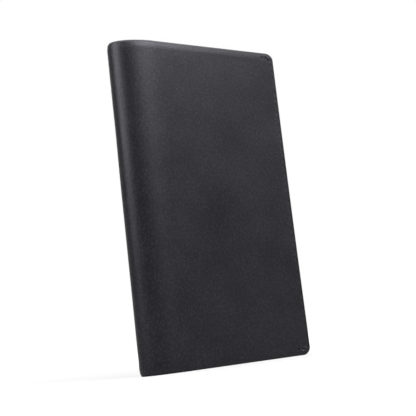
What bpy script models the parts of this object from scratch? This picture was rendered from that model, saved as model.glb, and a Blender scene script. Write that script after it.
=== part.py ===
"""Travel document wallet: a black leather bifold with a thick round spine.

The wallet stands closed on its lower edge. The spine faces -X, the fore edge +X,
the front cover -Y and the back cover +Y. The origin is at the middle of its foot.

The case is drawn unrolled, as the flat sheet of leather that it is cut from:
run is the distance along the outer face from the middle of the spine, positive
towards the front cover, depth is the distance inwards from that face, and z is
the height. wrap_mesh then rolls it round the spine. Things inside the covers are
placed by reach, the distance from the spine's nose towards the fore edge.
"""
import math

import bmesh
import bpy
import numpy as np
from mathutils import Matrix, Vector

# Overall size of the closed wallet
HEIGHT = 0.222
WIDTH = 0.130
THICKNESS = 0.029
NOSE_DEPTH = 0.029
CORNER_RADIUS = 0.0056
EDGE_ROUND = 0.0016
SMALL_EDGE = 0.0003

# Sheet thicknesses and the space kept between neighbouring pieces
LEATHER = 0.0012
BOARD = 0.0018
LINING = 0.0006
CLEARANCE = 0.0003
RIM_WIDTH = 0.0035

# The spine opens flat through equal turns at its hinge lines
HINGE_COUNT = 6
OPENING_ANGLE = 180.0

# Seam along the fore edge of each cover
THREAD = 0.0006
STITCH_INSET = 0.0022
STITCH_PITCH = 0.0051
STITCH_LENGTH = 0.0036
STITCH_NECK = 0.4
SEAM_RETURN = 0.007

# Pockets: margins inside the covers and the leather of panels and gussets
POCKET_SPINE_MARGIN = 0.003
POCKET_FORE_MARGIN = 0.005
POCKET_END_MARGIN = 0.006
PANEL = 0.0012
GUSSET = 0.0012
SLIP_POCKET_DEPTH = 0.0046
THUMB_NOTCH_RADIUS = 0.012
PASSPORT_POCKET_HEIGHT = 0.112

# Card slots above the passport pocket
CARD_LEATHER = 0.0008
CARD_SLOT_COUNT = 3
CARD_SLOT_STEP = 0.011
CARD_SLOT_DEPTH = 0.056
CARD_BASE_FOOT_GAP = 0.010
CARD_BASE_TOP_MARGIN = 0.010
CARD_TOP_HEM = 0.006

# Zip pocket on the ticket pocket's panel
ZIP_SPINE_MARGIN = 0.010
ZIP_END_MARGIN = 0.014
ZIP_POCKET_DEPTH = 0.0022
ZIP_WINDOW_WIDTH = 0.008
ZIP_WINDOW_MARGIN = 0.008
ZIP_WINDOW_END = 0.006
TAPE = 0.0006
TAPE_WIDTH = 0.0072
TAPE_SPLIT = 0.0016
TOOTH_WIDTH = 0.0014
TOOTH_BEAD = 0.0005
TOOTH_BEAD_INSET = 0.0002
TOOTH_HEIGHT = 0.0010
TOOTH_LENGTH = 0.0015
TOOTH_PITCH = 0.0028
TOOTH_SPLIT = 0.0012
STOP_LENGTH = 0.002

# Zip slider and its puller
SLIDER_LENGTH = 0.0084
SLIDER_HEAD = 0.0070
SLIDER_TAIL = 0.0058
SLIDER_TOP = 0.0008
SLIDER_BOTTOM = 0.0006
SLIDER_FLANGE = 0.0007
CROWN_WIDTH = 0.0016
CROWN_BAR = 0.0008
CROWN_LENGTH = 0.0068
CROWN_ROOM = 0.0018
PULLER_THICKNESS = 0.0010
PULLER_WIDTH = 0.0048
PULLER_LENGTH = 0.0150
PULLER_ARM = 0.0012
PULLER_BAR = 0.0010
PULLER_WINDOW = 0.0052
PULLER_BAR_RISE = 0.0015

# Pen loop in the gutter of the spine
PEN_BORE = 0.0096
LOOP_LEATHER = 0.0012
LOOP_LENGTH = 0.034
LOOP_HEIGHT = 0.150
LOOP_REACH = 0.020
LOOP_FOOT_WIDTH = 0.0080

# Fineness of the rolled and rounded surfaces
TURN_STEP = 5.0
CORNER_STEPS = 6
EDGE_STEPS = 3
ROUND_SIDES = 24
THREAD_SIDES = 6
GROOVE_SIDES = 8

HALF = THICKNESS / 2
FRONT = -1
BACK = 1

# Depths of the layers, counted inwards from the outer face
BOARD_DEPTH = LEATHER + CLEARANCE
SPINE_LINING_DEPTH = LEATHER + CLEARANCE
SPINE_INNER = SPINE_LINING_DEPTH + LINING
COVER_LINING_DEPTH = BOARD_DEPTH + BOARD + CLEARANCE
COVER_INNER = COVER_LINING_DEPTH + LINING
SLIP_PANEL_DEPTH = COVER_INNER + SLIP_POCKET_DEPTH
SLIP_PANEL_FACE = SLIP_PANEL_DEPTH + PANEL
ZIP_PANEL_DEPTH = SLIP_PANEL_FACE + ZIP_POCKET_DEPTH
ZIP_PANEL_FACE = ZIP_PANEL_DEPTH + PANEL
TAPE_DEPTH = ZIP_PANEL_DEPTH - CLEARANCE - TAPE
TOOTH_DEPTH = TAPE_DEPTH + TAPE + CLEARANCE
SLIDER_TOP_DEPTH = TOOTH_DEPTH + TOOTH_HEIGHT + CLEARANCE
CROWN_DEPTH = SLIDER_TOP_DEPTH + SLIDER_TOP
PULLER_AXIS_DEPTH = CROWN_DEPTH + CROWN_ROOM / 2

# Places along the covers
POCKET_START = NOSE_DEPTH + POCKET_SPINE_MARGIN
POCKET_END = WIDTH - POCKET_FORE_MARGIN
POCKET_FOOT = POCKET_END_MARGIN
POCKET_TOP = HEIGHT - POCKET_END_MARGIN
ZIP_START = POCKET_START + ZIP_SPINE_MARGIN
ZIP_FOOT = ZIP_END_MARGIN
ZIP_TOP = HEIGHT - ZIP_END_MARGIN
ZIP_CENTRE = ZIP_START + ZIP_WINDOW_MARGIN + ZIP_WINDOW_WIDTH / 2
WINDOW_FOOT = ZIP_FOOT + ZIP_WINDOW_END
WINDOW_TOP = ZIP_TOP - ZIP_WINDOW_END
TEETH_FOOT = WINDOW_FOOT + STOP_LENGTH + 2 * CLEARANCE
TEETH_TOP = WINDOW_TOP - STOP_LENGTH - 2 * CLEARANCE
SLIDER_Z = TEETH_TOP - SLIDER_LENGTH / 2
SLIDER_TRAVEL = TEETH_TOP - TEETH_FOOT - SLIDER_LENGTH
PULLER_AXIS_Z = SLIDER_Z + PULLER_BAR_RISE

# The rolled spine is half an ellipse; these tables hold its arc length
NOSE_ANGLES = np.linspace(0.0, math.pi / 2, 2001)
NOSE_SPEEDS = np.hypot(NOSE_DEPTH * np.sin(NOSE_ANGLES), HALF * np.cos(NOSE_ANGLES))
NOSE_STEPS = (NOSE_SPEEDS[1:] + NOSE_SPEEDS[:-1]) / 2 * np.diff(NOSE_ANGLES)
NOSE_RUNS = np.concatenate([[0.0], np.cumsum(NOSE_STEPS)])
NOSE_RUN = float(NOSE_RUNS[-1])
FORE_RUN = NOSE_RUN + WIDTH - NOSE_DEPTH


def run_at_turn(turn):
    """Run of the point where the leather has turned by this many degrees from the nose."""
    tangent = math.tan(math.radians(min(abs(turn), 89.999)))
    angle = math.atan(HALF / NOSE_DEPTH * tangent)
    run = float(np.interp(angle, NOSE_ANGLES, NOSE_RUNS))
    return math.copysign(run, turn)


def surface_frame(run):
    """Outer point and inward normal of the rolled leather at this run, seen from above."""
    side = -1.0 if run >= 0 else 1.0
    length = abs(run)
    if length >= NOSE_RUN:
        point = Vector((NOSE_DEPTH + length - NOSE_RUN, side * HALF))
        normal = Vector((0.0, -side))
    else:
        angle = float(np.interp(length, NOSE_RUNS, NOSE_ANGLES))
        swing = side * HALF * math.sin(angle)
        point = Vector((NOSE_DEPTH * (1 - math.cos(angle)), swing))
        normal = Vector((HALF * math.cos(angle), -side * NOSE_DEPTH * math.sin(angle)))
        normal.normalize()
    point.x -= WIDTH / 2
    return point, normal


def hinge_runs():
    """Runs of the hinge lines, from the back cover round to the front cover."""
    turn = OPENING_ANGLE / HINGE_COUNT
    first = -(HINGE_COUNT - 1) / 2 * turn
    return [run_at_turn(first + turn * index) for index in range(HINGE_COUNT)]


def clear_scene():
    """Empties the file that the script runs in."""
    for item in list(bpy.data.objects):
        bpy.data.objects.remove(item)


def new_collection(name):
    """A collection linked to the scene."""
    collection = bpy.data.collections.new(name)
    bpy.context.scene.collection.children.link(collection)
    return collection


def new_material(name, colour, roughness, metallic=0.0):
    """A plain Principled surface."""
    material = bpy.data.materials.new(name)
    material.use_nodes = True
    shader = material.node_tree.nodes["Principled BSDF"]
    shader.inputs["Base Color"].default_value = (*colour, 1.0)
    shader.inputs["Roughness"].default_value = roughness
    shader.inputs["Metallic"].default_value = metallic
    return material


def add_object(name, mesh, collection):
    """An object for a mesh, in a collection."""
    item = bpy.data.objects.new(name, mesh)
    collection.objects.link(item)
    return item


def evaluated_mesh(item):
    """The mesh of an object with its modifiers, as the viewport shows it."""
    graph = bpy.context.evaluated_depsgraph_get()
    graph.update()
    return bpy.data.meshes.new_from_object(item.evaluated_get(graph), depsgraph=graph)


def edit_mesh(mesh, change):
    """Runs one change on a mesh through bmesh."""
    work = bmesh.new()
    work.from_mesh(mesh)
    change(work)
    work.to_mesh(mesh)
    work.free()
    mesh.update()


def box_mesh(low, high, edge=0.0):
    """A box between two corners, with its edges taken off by a small flat."""
    centre = (Vector(low) + Vector(high)) / 2
    size = Vector(high) - Vector(low)
    work = bmesh.new()
    place = Matrix.Translation(centre) @ Matrix.Diagonal((*size, 1.0))
    bmesh.ops.create_cube(work, size=1.0, matrix=place)
    if edge > 0:
        width = min(edge, min(size) / 3)
        bmesh.ops.bevel(work, geom=work.edges[:], offset=width, segments=1, affect="EDGES")
    mesh = bpy.data.meshes.new("box")
    work.to_mesh(mesh)
    work.free()
    return mesh


def cylinder_mesh(radius, length, place, sides=ROUND_SIDES):
    """A round bar along the local Z axis of the matrix, centred on it."""
    work = bmesh.new()
    bmesh.ops.create_cone(
        work, cap_ends=True, segments=sides, radius1=radius, radius2=radius, depth=length, matrix=place
    )
    mesh = bpy.data.meshes.new("cylinder")
    work.to_mesh(mesh)
    work.free()
    return mesh


def outline_points(corners, steps=CORNER_STEPS):
    """A closed outline with its corners rounded; each corner is (along, up, radius)."""
    points = []
    count = len(corners)
    for index, (along, up, radius) in enumerate(corners):
        here = Vector((along, up))
        if radius <= 0:
            points.append(here)
            continue
        before = (Vector(corners[index - 1][:2]) - here).normalized()
        after = (Vector(corners[(index + 1) % count][:2]) - here).normalized()
        half_angle = before.angle(after) / 2
        cut = radius / math.tan(half_angle)
        centre = here + (before + after).normalized() * radius / math.sin(half_angle)
        start = here + before * cut - centre
        sweep = math.pi - 2 * half_angle
        turn = 1.0 if before.cross(after) < 0 else -1.0
        for step in range(steps + 1):
            spin = Matrix.Rotation(turn * sweep * step / steps, 2)
            points.append(centre + spin @ start)
    return points


def plate_mesh(corners, low, high, steps=CORNER_STEPS):
    """A flat plate: an outline in X and Z, between two values of Y."""
    curve = bpy.data.curves.new("outline", "CURVE")
    curve.dimensions = "2D"
    curve.fill_mode = "BOTH"
    curve.extrude = (high - low) / 2
    points = outline_points(corners, steps)
    spline = curve.splines.new("POLY")
    spline.points.add(len(points) - 1)
    for slot, point in zip(spline.points, points):
        slot.co = (point.x, point.y, 0.0, 1.0)
    spline.use_cyclic_u = True
    guide = bpy.data.objects.new("outline", curve)
    bpy.context.scene.collection.objects.link(guide)
    mesh = evaluated_mesh(guide)
    bpy.data.objects.remove(guide)
    stand = Matrix.Translation((0.0, (low + high) / 2, 0.0)) @ Matrix.Rotation(math.pi / 2, 4, "X")
    mesh.transform(stand)

    def weld(work):
        bmesh.ops.remove_doubles(work, verts=work.verts[:], dist=0.00001)
        bmesh.ops.recalc_face_normals(work, faces=work.faces[:])

    edit_mesh(mesh, weld)
    return mesh


def tube_mesh(points, radius, sides, swells=None):
    """A round tube with closed ends along a path, which may swell along it."""
    curve = bpy.data.curves.new("tube", "CURVE")
    curve.dimensions = "3D"
    curve.bevel_depth = radius
    curve.bevel_resolution = (sides - 4) // 2
    curve.use_fill_caps = True
    spline = curve.splines.new("POLY")
    spline.points.add(len(points) - 1)
    for index, (slot, point) in enumerate(zip(spline.points, points)):
        slot.co = (*point, 1.0)
        slot.radius = swells[index] if swells else 1.0
    guide = bpy.data.objects.new("tube", curve)
    bpy.context.scene.collection.objects.link(guide)
    mesh = evaluated_mesh(guide)
    bpy.data.objects.remove(guide)

    def weld(work):
        bmesh.ops.remove_doubles(work, verts=work.verts[:], dist=0.00001)
        bmesh.ops.recalc_face_normals(work, faces=work.faces[:])

    edit_mesh(mesh, weld)
    return mesh


def combine(mesh, others, operation):
    """A mesh after one exact Boolean with each of the others in turn."""
    scene = bpy.context.scene.collection
    body = add_object("combine_body", mesh, scene)
    for other in others:
        tool = add_object("combine_tool", other, scene)
        modifier = body.modifiers.new("combine", "BOOLEAN")
        modifier.operation = operation
        modifier.object = tool
        result = evaluated_mesh(body)
        body.modifiers.remove(modifier)
        body.data = result
        bpy.data.objects.remove(tool)
    result = body.data
    bpy.data.objects.remove(body)
    return result


def wrap_mesh(mesh):
    """Rolls a mesh drawn unrolled in run, depth and z round the spine."""
    turns = np.arange(-90.0 + TURN_STEP, 90.0, TURN_STEP)

    def slice_and_roll(work):
        for turn in turns:
            bmesh.ops.bisect_plane(
                work,
                geom=work.verts[:] + work.edges[:] + work.faces[:],
                dist=0.000001,
                plane_co=(run_at_turn(float(turn)), 0.0, 0.0),
                plane_no=(1.0, 0.0, 0.0),
            )
        for vert in work.verts:
            point, normal = surface_frame(vert.co.x)
            place = point + normal * vert.co.y
            vert.co = (place.x, place.y, vert.co.z)

    edit_mesh(mesh, slice_and_roll)
    return mesh


def mirror_run(mesh):
    """Turns a front piece, drawn unrolled, into its mirror image for the back."""
    mesh.transform(Matrix.Diagonal((-1.0, 1.0, 1.0, 1.0)))
    mesh.flip_normals()
    return mesh


def cover_y(side, depth):
    """Y of a depth inwards from the outer face of a cover."""
    return side * (HALF - depth)


def inside_box(side, reach, depth, height, edge=0.0):
    """A box inside a cover, between pairs of reaches, depths and heights."""
    sides = sorted((cover_y(side, depth[0]), cover_y(side, depth[1])))
    low = (reach[0] - WIDTH / 2, sides[0], height[0])
    high = (reach[1] - WIDTH / 2, sides[1], height[1])
    return box_mesh(low, high, edge)


def inside_plate(side, corners, depth, steps=CORNER_STEPS):
    """A plate inside a cover: an outline in reach and height, between two depths."""
    sides = sorted((cover_y(side, depth[0]), cover_y(side, depth[1])))
    shifted = [(reach - WIDTH / 2, up, radius) for reach, up, radius in corners]
    return plate_mesh(shifted, sides[0], sides[1], steps)


def rectangle(reach, height, radius=0.0):
    """Corners of a rectangle, all rounded alike."""
    return [
        (reach[0], height[0], radius),
        (reach[1], height[0], radius),
        (reach[1], height[1], radius),
        (reach[0], height[1], radius),
    ]


def round_outer_edges(mesh, open_runs):
    """Rounds the outer edge of an unrolled leather piece, but not at its hinge lines."""

    def bevel(work):
        edges = []
        for edge in work.edges:
            outer = all(abs(vert.co.y) < 0.000001 for vert in edge.verts)
            hinge = any(
                all(abs(vert.co.x - run) < 0.000001 for vert in edge.verts) for run in open_runs
            )
            if outer and not hinge and edge.calc_face_angle(0.0) > 1.0:
                edges.append(edge)
        bmesh.ops.bevel(
            work, geom=edges, offset=EDGE_ROUND, segments=EDGE_STEPS, profile=0.5, affect="EDGES"
        )

    edit_mesh(mesh, bevel)
    return mesh


def seam_path():
    """Middle of a cover's seam, unrolled: points and the length along them."""
    inset = STITCH_INSET
    radius = CORNER_RADIUS - inset
    depth = THREAD / 2
    centre_run = FORE_RUN - CORNER_RADIUS
    points = [Vector((centre_run - SEAM_RETURN, depth, HEIGHT - inset))]
    for centre_z, start in ((HEIGHT - CORNER_RADIUS, 90.0), (CORNER_RADIUS, 0.0)):
        for step in range(CORNER_STEPS + 1):
            angle = math.radians(start - 90.0 * step / CORNER_STEPS)
            run = centre_run + radius * math.cos(angle)
            points.append(Vector((run, depth, centre_z + radius * math.sin(angle))))
    points.append(Vector((centre_run - SEAM_RETURN, depth, inset)))
    return points


def point_along(points, distance):
    """Point at a distance along a path."""
    for start, end in zip(points, points[1:]):
        length = (end - start).length
        if distance <= length:
            return start.lerp(end, distance / length)
        distance -= length
    return points[-1].copy()


def seam_thread_mesh():
    """The thread along the fore edge, unrolled: it swells in each stitch and narrows at each hole."""
    points = seam_path()
    corners = [0.0]
    for start, end in zip(points, points[1:]):
        corners.append(corners[-1] + (end - start).length)
    count = int((corners[-1] - STITCH_LENGTH) / STITCH_PITCH) + 1
    row = (count - 1) * STITCH_PITCH + STITCH_LENGTH
    first = (corners[-1] - row) / 2
    gap = STITCH_PITCH - STITCH_LENGTH

    def swell(distance):
        past_stitch = (distance - first) % STITCH_PITCH - STITCH_LENGTH
        if past_stitch <= 0:
            return 1.0
        return 1.0 - (1.0 - STITCH_NECK) * (1.0 - abs(2 * past_stitch / gap - 1.0))

    distances = [distance for distance in corners if first < distance < first + row]
    for index in range(count):
        start = first + index * STITCH_PITCH
        distances += [start, start + STITCH_LENGTH]
        if index < count - 1:
            distances.append(start + STITCH_LENGTH + gap / 2)
    distances.sort()
    path = [point_along(points, distance) for distance in distances]
    swells = [swell(distance) for distance in distances]
    return tube_mesh(path, THREAD / 2, THREAD_SIDES, swells)


def cover_leather_mesh():
    """A cover's leather, unrolled: a sheet with a raised rim on three sides."""
    start = hinge_runs()[-1] + CLEARANCE / 2
    corners = [
        (start, 0.0, 0.0),
        (FORE_RUN, 0.0, CORNER_RADIUS),
        (FORE_RUN, HEIGHT, CORNER_RADIUS),
        (start, HEIGHT, 0.0),
    ]
    mesh = plate_mesh(corners, 0.0, COVER_INNER)
    round_outer_edges(mesh, [start])
    beyond = 0.01
    recess_low = (start - beyond, LEATHER, RIM_WIDTH)
    recess_high = (FORE_RUN - RIM_WIDTH, COVER_INNER + beyond, HEIGHT - RIM_WIDTH)
    flank_low = (start - beyond, SPINE_INNER, -beyond)
    flank_high = (NOSE_RUN, COVER_INNER + beyond, HEIGHT + beyond)
    groove = tube_mesh(seam_path(), THREAD / 2 + CLEARANCE, GROOVE_SIDES)
    cutters = [box_mesh(recess_low, recess_high), box_mesh(flank_low, flank_high), groove]
    return combine(mesh, cutters, "DIFFERENCE")


def cover_lining_mesh():
    """A cover's lining, unrolled: it climbs from the spine onto the board."""
    start = hinge_runs()[-1] + CLEARANCE / 2
    ramp = COVER_LINING_DEPTH - SPINE_LINING_DEPTH
    low = [
        (start, SPINE_LINING_DEPTH),
        (NOSE_RUN - ramp, SPINE_LINING_DEPTH),
        (NOSE_RUN, COVER_LINING_DEPTH),
        (FORE_RUN - RIM_WIDTH - CLEARANCE, COVER_LINING_DEPTH),
    ]
    loop = low + [(run, depth + LINING) for run, depth in reversed(low)]
    foot = RIM_WIDTH + CLEARANCE
    height = HEIGHT - 2 * foot
    corners = [(run, depth, 0.0) for run, depth in loop]
    mesh = plate_mesh(corners, -height / 2, height / 2)
    lay = Matrix.Translation((0.0, 0.0, HEIGHT / 2)) @ Matrix.Rotation(-math.pi / 2, 4, "X")
    mesh.transform(lay)
    return mesh


def make_covers(add, materials):
    """Leather, board, lining and seam of the two covers."""
    board_start = NOSE_DEPTH + CLEARANCE
    board_end = WIDTH - RIM_WIDTH - CLEARANCE
    board_height = (RIM_WIDTH + CLEARANCE, HEIGHT - RIM_WIDTH - CLEARANCE)
    board_depth = (BOARD_DEPTH, BOARD_DEPTH + BOARD)
    for side, name, body in ((FRONT, "front", "front_cover"), (BACK, "back", "back_cover")):
        sheets = {
            f"{name}_cover_leather": (cover_leather_mesh(), materials["leather"]),
            f"{name}_lining": (cover_lining_mesh(), materials["lining"]),
            f"{name}_seam_thread": (seam_thread_mesh(), materials["thread"]),
        }
        for node, (mesh, material) in sheets.items():
            if side == BACK:
                mirror_run(mesh)
            add(node, wrap_mesh(mesh), material, body)
        board = inside_box(side, (board_start, board_end), board_depth, board_height, SMALL_EDGE)
        add(f"{name}_cover_board", board, materials["board"], body)


def make_spine(add, materials):
    """The strips of leather and lining between the hinge lines."""
    runs = hinge_runs()
    inner_foot = RIM_WIDTH + CLEARANCE
    for index, (before, after) in enumerate(zip(runs, runs[1:]), start=1):
        start = before + CLEARANCE / 2
        end = after - CLEARANCE / 2
        strip = box_mesh((start, 0.0, 0.0), (end, SPINE_INNER, HEIGHT))
        round_outer_edges(strip, [start, end])
        beyond = 0.01
        recess = box_mesh(
            (start - beyond, LEATHER, RIM_WIDTH), (end + beyond, beyond, HEIGHT - RIM_WIDTH)
        )
        strip = combine(strip, [recess], "DIFFERENCE")
        add(f"spine_leather_{index}", wrap_mesh(strip), materials["leather"], f"spine_{index}")
        lining = box_mesh(
            (start, SPINE_LINING_DEPTH, inner_foot), (end, SPINE_INNER, HEIGHT - inner_foot)
        )
        add(f"spine_lining_{index}", wrap_mesh(lining), materials["lining"], f"spine_{index}")


def make_gussets(add, material, side, body, name, reach, depth, height, walls):
    """Straight gusset strips along the named sides of a pocket."""
    inner = (height[0] + GUSSET + CLEARANCE, height[1] - GUSSET - CLEARANCE)
    if "top" not in walls:
        inner = (inner[0], height[1])
    strips = {
        "bottom": (reach, (height[0], height[0] + GUSSET)),
        "top": (reach, (height[1] - GUSSET, height[1])),
        "fore": ((reach[1] - GUSSET, reach[1]), inner),
        "spine": ((reach[0], reach[0] + GUSSET), inner),
    }
    for wall in walls:
        wall_reach, wall_height = strips[wall]
        mesh = inside_box(side, wall_reach, depth, wall_height)
        add(f"{name}_gusset_{wall}", mesh, material, body)


def notched_panel(side, reach, depth, height, notch_reach, notch_z):
    """A pocket's panel with a thumb notch in its mouth."""
    panel = inside_plate(side, rectangle(reach, height, EDGE_ROUND), depth)
    middle = (cover_y(side, depth[0]) + cover_y(side, depth[1])) / 2
    place = Matrix.Translation((notch_reach - WIDTH / 2, middle, notch_z))
    place = place @ Matrix.Rotation(math.pi / 2, 4, "X")
    notch = cylinder_mesh(THUMB_NOTCH_RADIUS, 4 * PANEL, place)
    return combine(panel, [notch], "DIFFERENCE")


def make_passport_pocket(add, materials):
    """Slip pocket on the front half, open upwards."""
    reach = (POCKET_START, POCKET_END)
    height = (POCKET_FOOT, POCKET_FOOT + PASSPORT_POCKET_HEIGHT)
    depth = (SLIP_PANEL_DEPTH, SLIP_PANEL_FACE)
    middle = (reach[0] + reach[1]) / 2
    notch_z = height[1] + THUMB_NOTCH_RADIUS / 3
    panel = notched_panel(FRONT, reach, depth, height, middle, notch_z)
    add("passport_pocket_panel", panel, materials["leather"], "front_cover")
    gusset_depth = (COVER_INNER + CLEARANCE, SLIP_PANEL_DEPTH - CLEARANCE)
    walls = ("bottom", "fore", "spine")
    make_gussets(
        add, materials["lining"], FRONT, "front_cover", "passport", reach, gusset_depth, height, walls
    )


def make_card_slots(add, materials):
    """Card slots on the front half: a base and staggered leaves of thin leather."""
    reach = (POCKET_START, POCKET_END)
    base_top = HEIGHT - CARD_BASE_TOP_MARGIN
    base_foot = POCKET_FOOT + PASSPORT_POCKET_HEIGHT + CARD_BASE_FOOT_GAP
    depth = COVER_INNER + CLEARANCE
    base = inside_plate(
        FRONT,
        rectangle(reach, (base_foot, base_top), EDGE_ROUND),
        (depth, depth + CARD_LEATHER),
    )
    add("card_pocket_base", base, materials["leather"], "front_cover")
    for index in range(CARD_SLOT_COUNT):
        depth += CARD_LEATHER + CLEARANCE
        mouth = base_top - CARD_TOP_HEM - index * CARD_SLOT_STEP
        foot = max(mouth - CARD_SLOT_DEPTH, base_foot)
        leaf = inside_plate(
            FRONT,
            rectangle(reach, (foot, mouth), EDGE_ROUND / 2),
            (depth, depth + CARD_LEATHER),
            steps=2,
        )
        add(f"card_slot_{index + 1}", leaf, materials["leather"], "front_cover")


def make_ticket_pocket(add, materials):
    """Full-height slip pocket on the back half, open towards the spine."""
    reach = (POCKET_START, POCKET_END)
    height = (POCKET_FOOT, POCKET_TOP)
    depth = (SLIP_PANEL_DEPTH, SLIP_PANEL_FACE)
    notch_reach = reach[0] - THUMB_NOTCH_RADIUS / 2
    panel = notched_panel(BACK, reach, depth, height, notch_reach, HEIGHT / 2)
    add("ticket_pocket_panel", panel, materials["leather"], "back_cover")
    gusset_depth = (COVER_INNER + CLEARANCE, SLIP_PANEL_DEPTH - CLEARANCE)
    walls = ("bottom", "top", "fore")
    make_gussets(
        add, materials["lining"], BACK, "back_cover", "ticket", reach, gusset_depth, height, walls
    )


def make_zip_pocket(add, materials):
    """Flat zip pocket on the ticket pocket, with its panel and gussets."""
    reach = (ZIP_START, POCKET_END)
    height = (ZIP_FOOT, ZIP_TOP)
    panel = inside_plate(
        BACK, rectangle(reach, height, EDGE_ROUND), (ZIP_PANEL_DEPTH, ZIP_PANEL_FACE)
    )
    window = inside_box(
        BACK,
        (ZIP_CENTRE - ZIP_WINDOW_WIDTH / 2, ZIP_CENTRE + ZIP_WINDOW_WIDTH / 2),
        (ZIP_PANEL_DEPTH - PANEL, ZIP_PANEL_FACE + PANEL),
        (WINDOW_FOOT, WINDOW_TOP),
    )
    panel = combine(panel, [window], "DIFFERENCE")
    add("zip_pocket_panel", panel, materials["leather"], "back_cover")
    depth = (SLIP_PANEL_FACE + CLEARANCE, ZIP_PANEL_DEPTH - CLEARANCE)
    walls = ("bottom", "top", "fore", "spine")
    make_gussets(add, materials["lining"], BACK, "back_cover", "zip", reach, depth, height, walls)


def teeth_mesh(root, edge, depth):
    """One row of zip teeth, joined by the bead along the tape's edge that they clamp."""
    count = int((TEETH_TOP - TEETH_FOOT - TOOTH_LENGTH) / TOOTH_PITCH) + 1
    last = TEETH_FOOT + (count - 1) * TOOTH_PITCH
    way = math.copysign(1.0, edge - root)
    bead_reach = sorted((root + way * TOOTH_BEAD_INSET, root + way * (TOOTH_BEAD_INSET + TOOTH_BEAD)))
    bead_depth = (depth[0] + TOOTH_BEAD_INSET, depth[1] - TOOTH_BEAD_INSET)
    bead_height = (TEETH_FOOT + TOOTH_BEAD_INSET, last + TOOTH_LENGTH - TOOTH_BEAD_INSET)
    bead = inside_box(BACK, bead_reach, bead_depth, bead_height)
    teeth = bmesh.new()
    for index in range(count):
        foot = TEETH_FOOT + index * TOOTH_PITCH
        tooth = inside_box(BACK, sorted((root, edge)), depth, (foot, foot + TOOTH_LENGTH))
        teeth.from_mesh(tooth)
    mesh = bpy.data.meshes.new("teeth")
    teeth.to_mesh(mesh)
    teeth.free()
    return combine(bead, [mesh], "UNION")


def make_zip_chain(add, materials):
    """Tapes, teeth and stops of the zip."""
    tape_height = (ZIP_FOOT + GUSSET + CLEARANCE, ZIP_TOP - GUSSET - CLEARANCE)
    tape_depth = (TAPE_DEPTH, TAPE_DEPTH + TAPE)
    tooth_depth = (TOOTH_DEPTH, TOOTH_DEPTH + TOOTH_HEIGHT)
    for name, way in (("spine", -1), ("fore", 1)):
        tape_edge = ZIP_CENTRE + way * TAPE_SPLIT / 2
        tape_reach = sorted((tape_edge, tape_edge + way * TAPE_WIDTH))
        tape = inside_box(BACK, tape_reach, tape_depth, tape_height)
        add(f"zip_tape_{name}", tape, materials["tape"], "back_cover")
        edge = ZIP_CENTRE + way * TOOTH_SPLIT / 2
        root = edge + way * TOOTH_WIDTH
        teeth = teeth_mesh(root, edge, tooth_depth)
        add(f"zip_teeth_{name}", teeth, materials["metal"], "back_cover")
        stop_height = (WINDOW_TOP - STOP_LENGTH, WINDOW_TOP - CLEARANCE)
        stop = inside_box(BACK, sorted((edge, root)), tooth_depth, stop_height)
        add(f"zip_top_stop_{name}", stop, materials["metal"], "back_cover")
    bottom_half = TOOTH_SPLIT / 2 + TOOTH_WIDTH
    bottom = inside_box(
        BACK,
        (ZIP_CENTRE - bottom_half, ZIP_CENTRE + bottom_half),
        tooth_depth,
        (WINDOW_FOOT + CLEARANCE, WINDOW_FOOT + STOP_LENGTH),
    )
    add("zip_bottom_stop", bottom, materials["metal"], "back_cover")


def slider_plate(depth):
    """One plate of the slider, wider at its upper end."""
    half = SLIDER_LENGTH / 2
    corners = [
        (ZIP_CENTRE - SLIDER_TAIL / 2, SLIDER_Z - half, EDGE_ROUND),
        (ZIP_CENTRE + SLIDER_TAIL / 2, SLIDER_Z - half, EDGE_ROUND),
        (ZIP_CENTRE + SLIDER_HEAD / 2, SLIDER_Z + half, EDGE_ROUND),
        (ZIP_CENTRE - SLIDER_HEAD / 2, SLIDER_Z + half, EDGE_ROUND),
    ]
    return inside_plate(BACK, corners, depth, steps=3)


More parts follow.
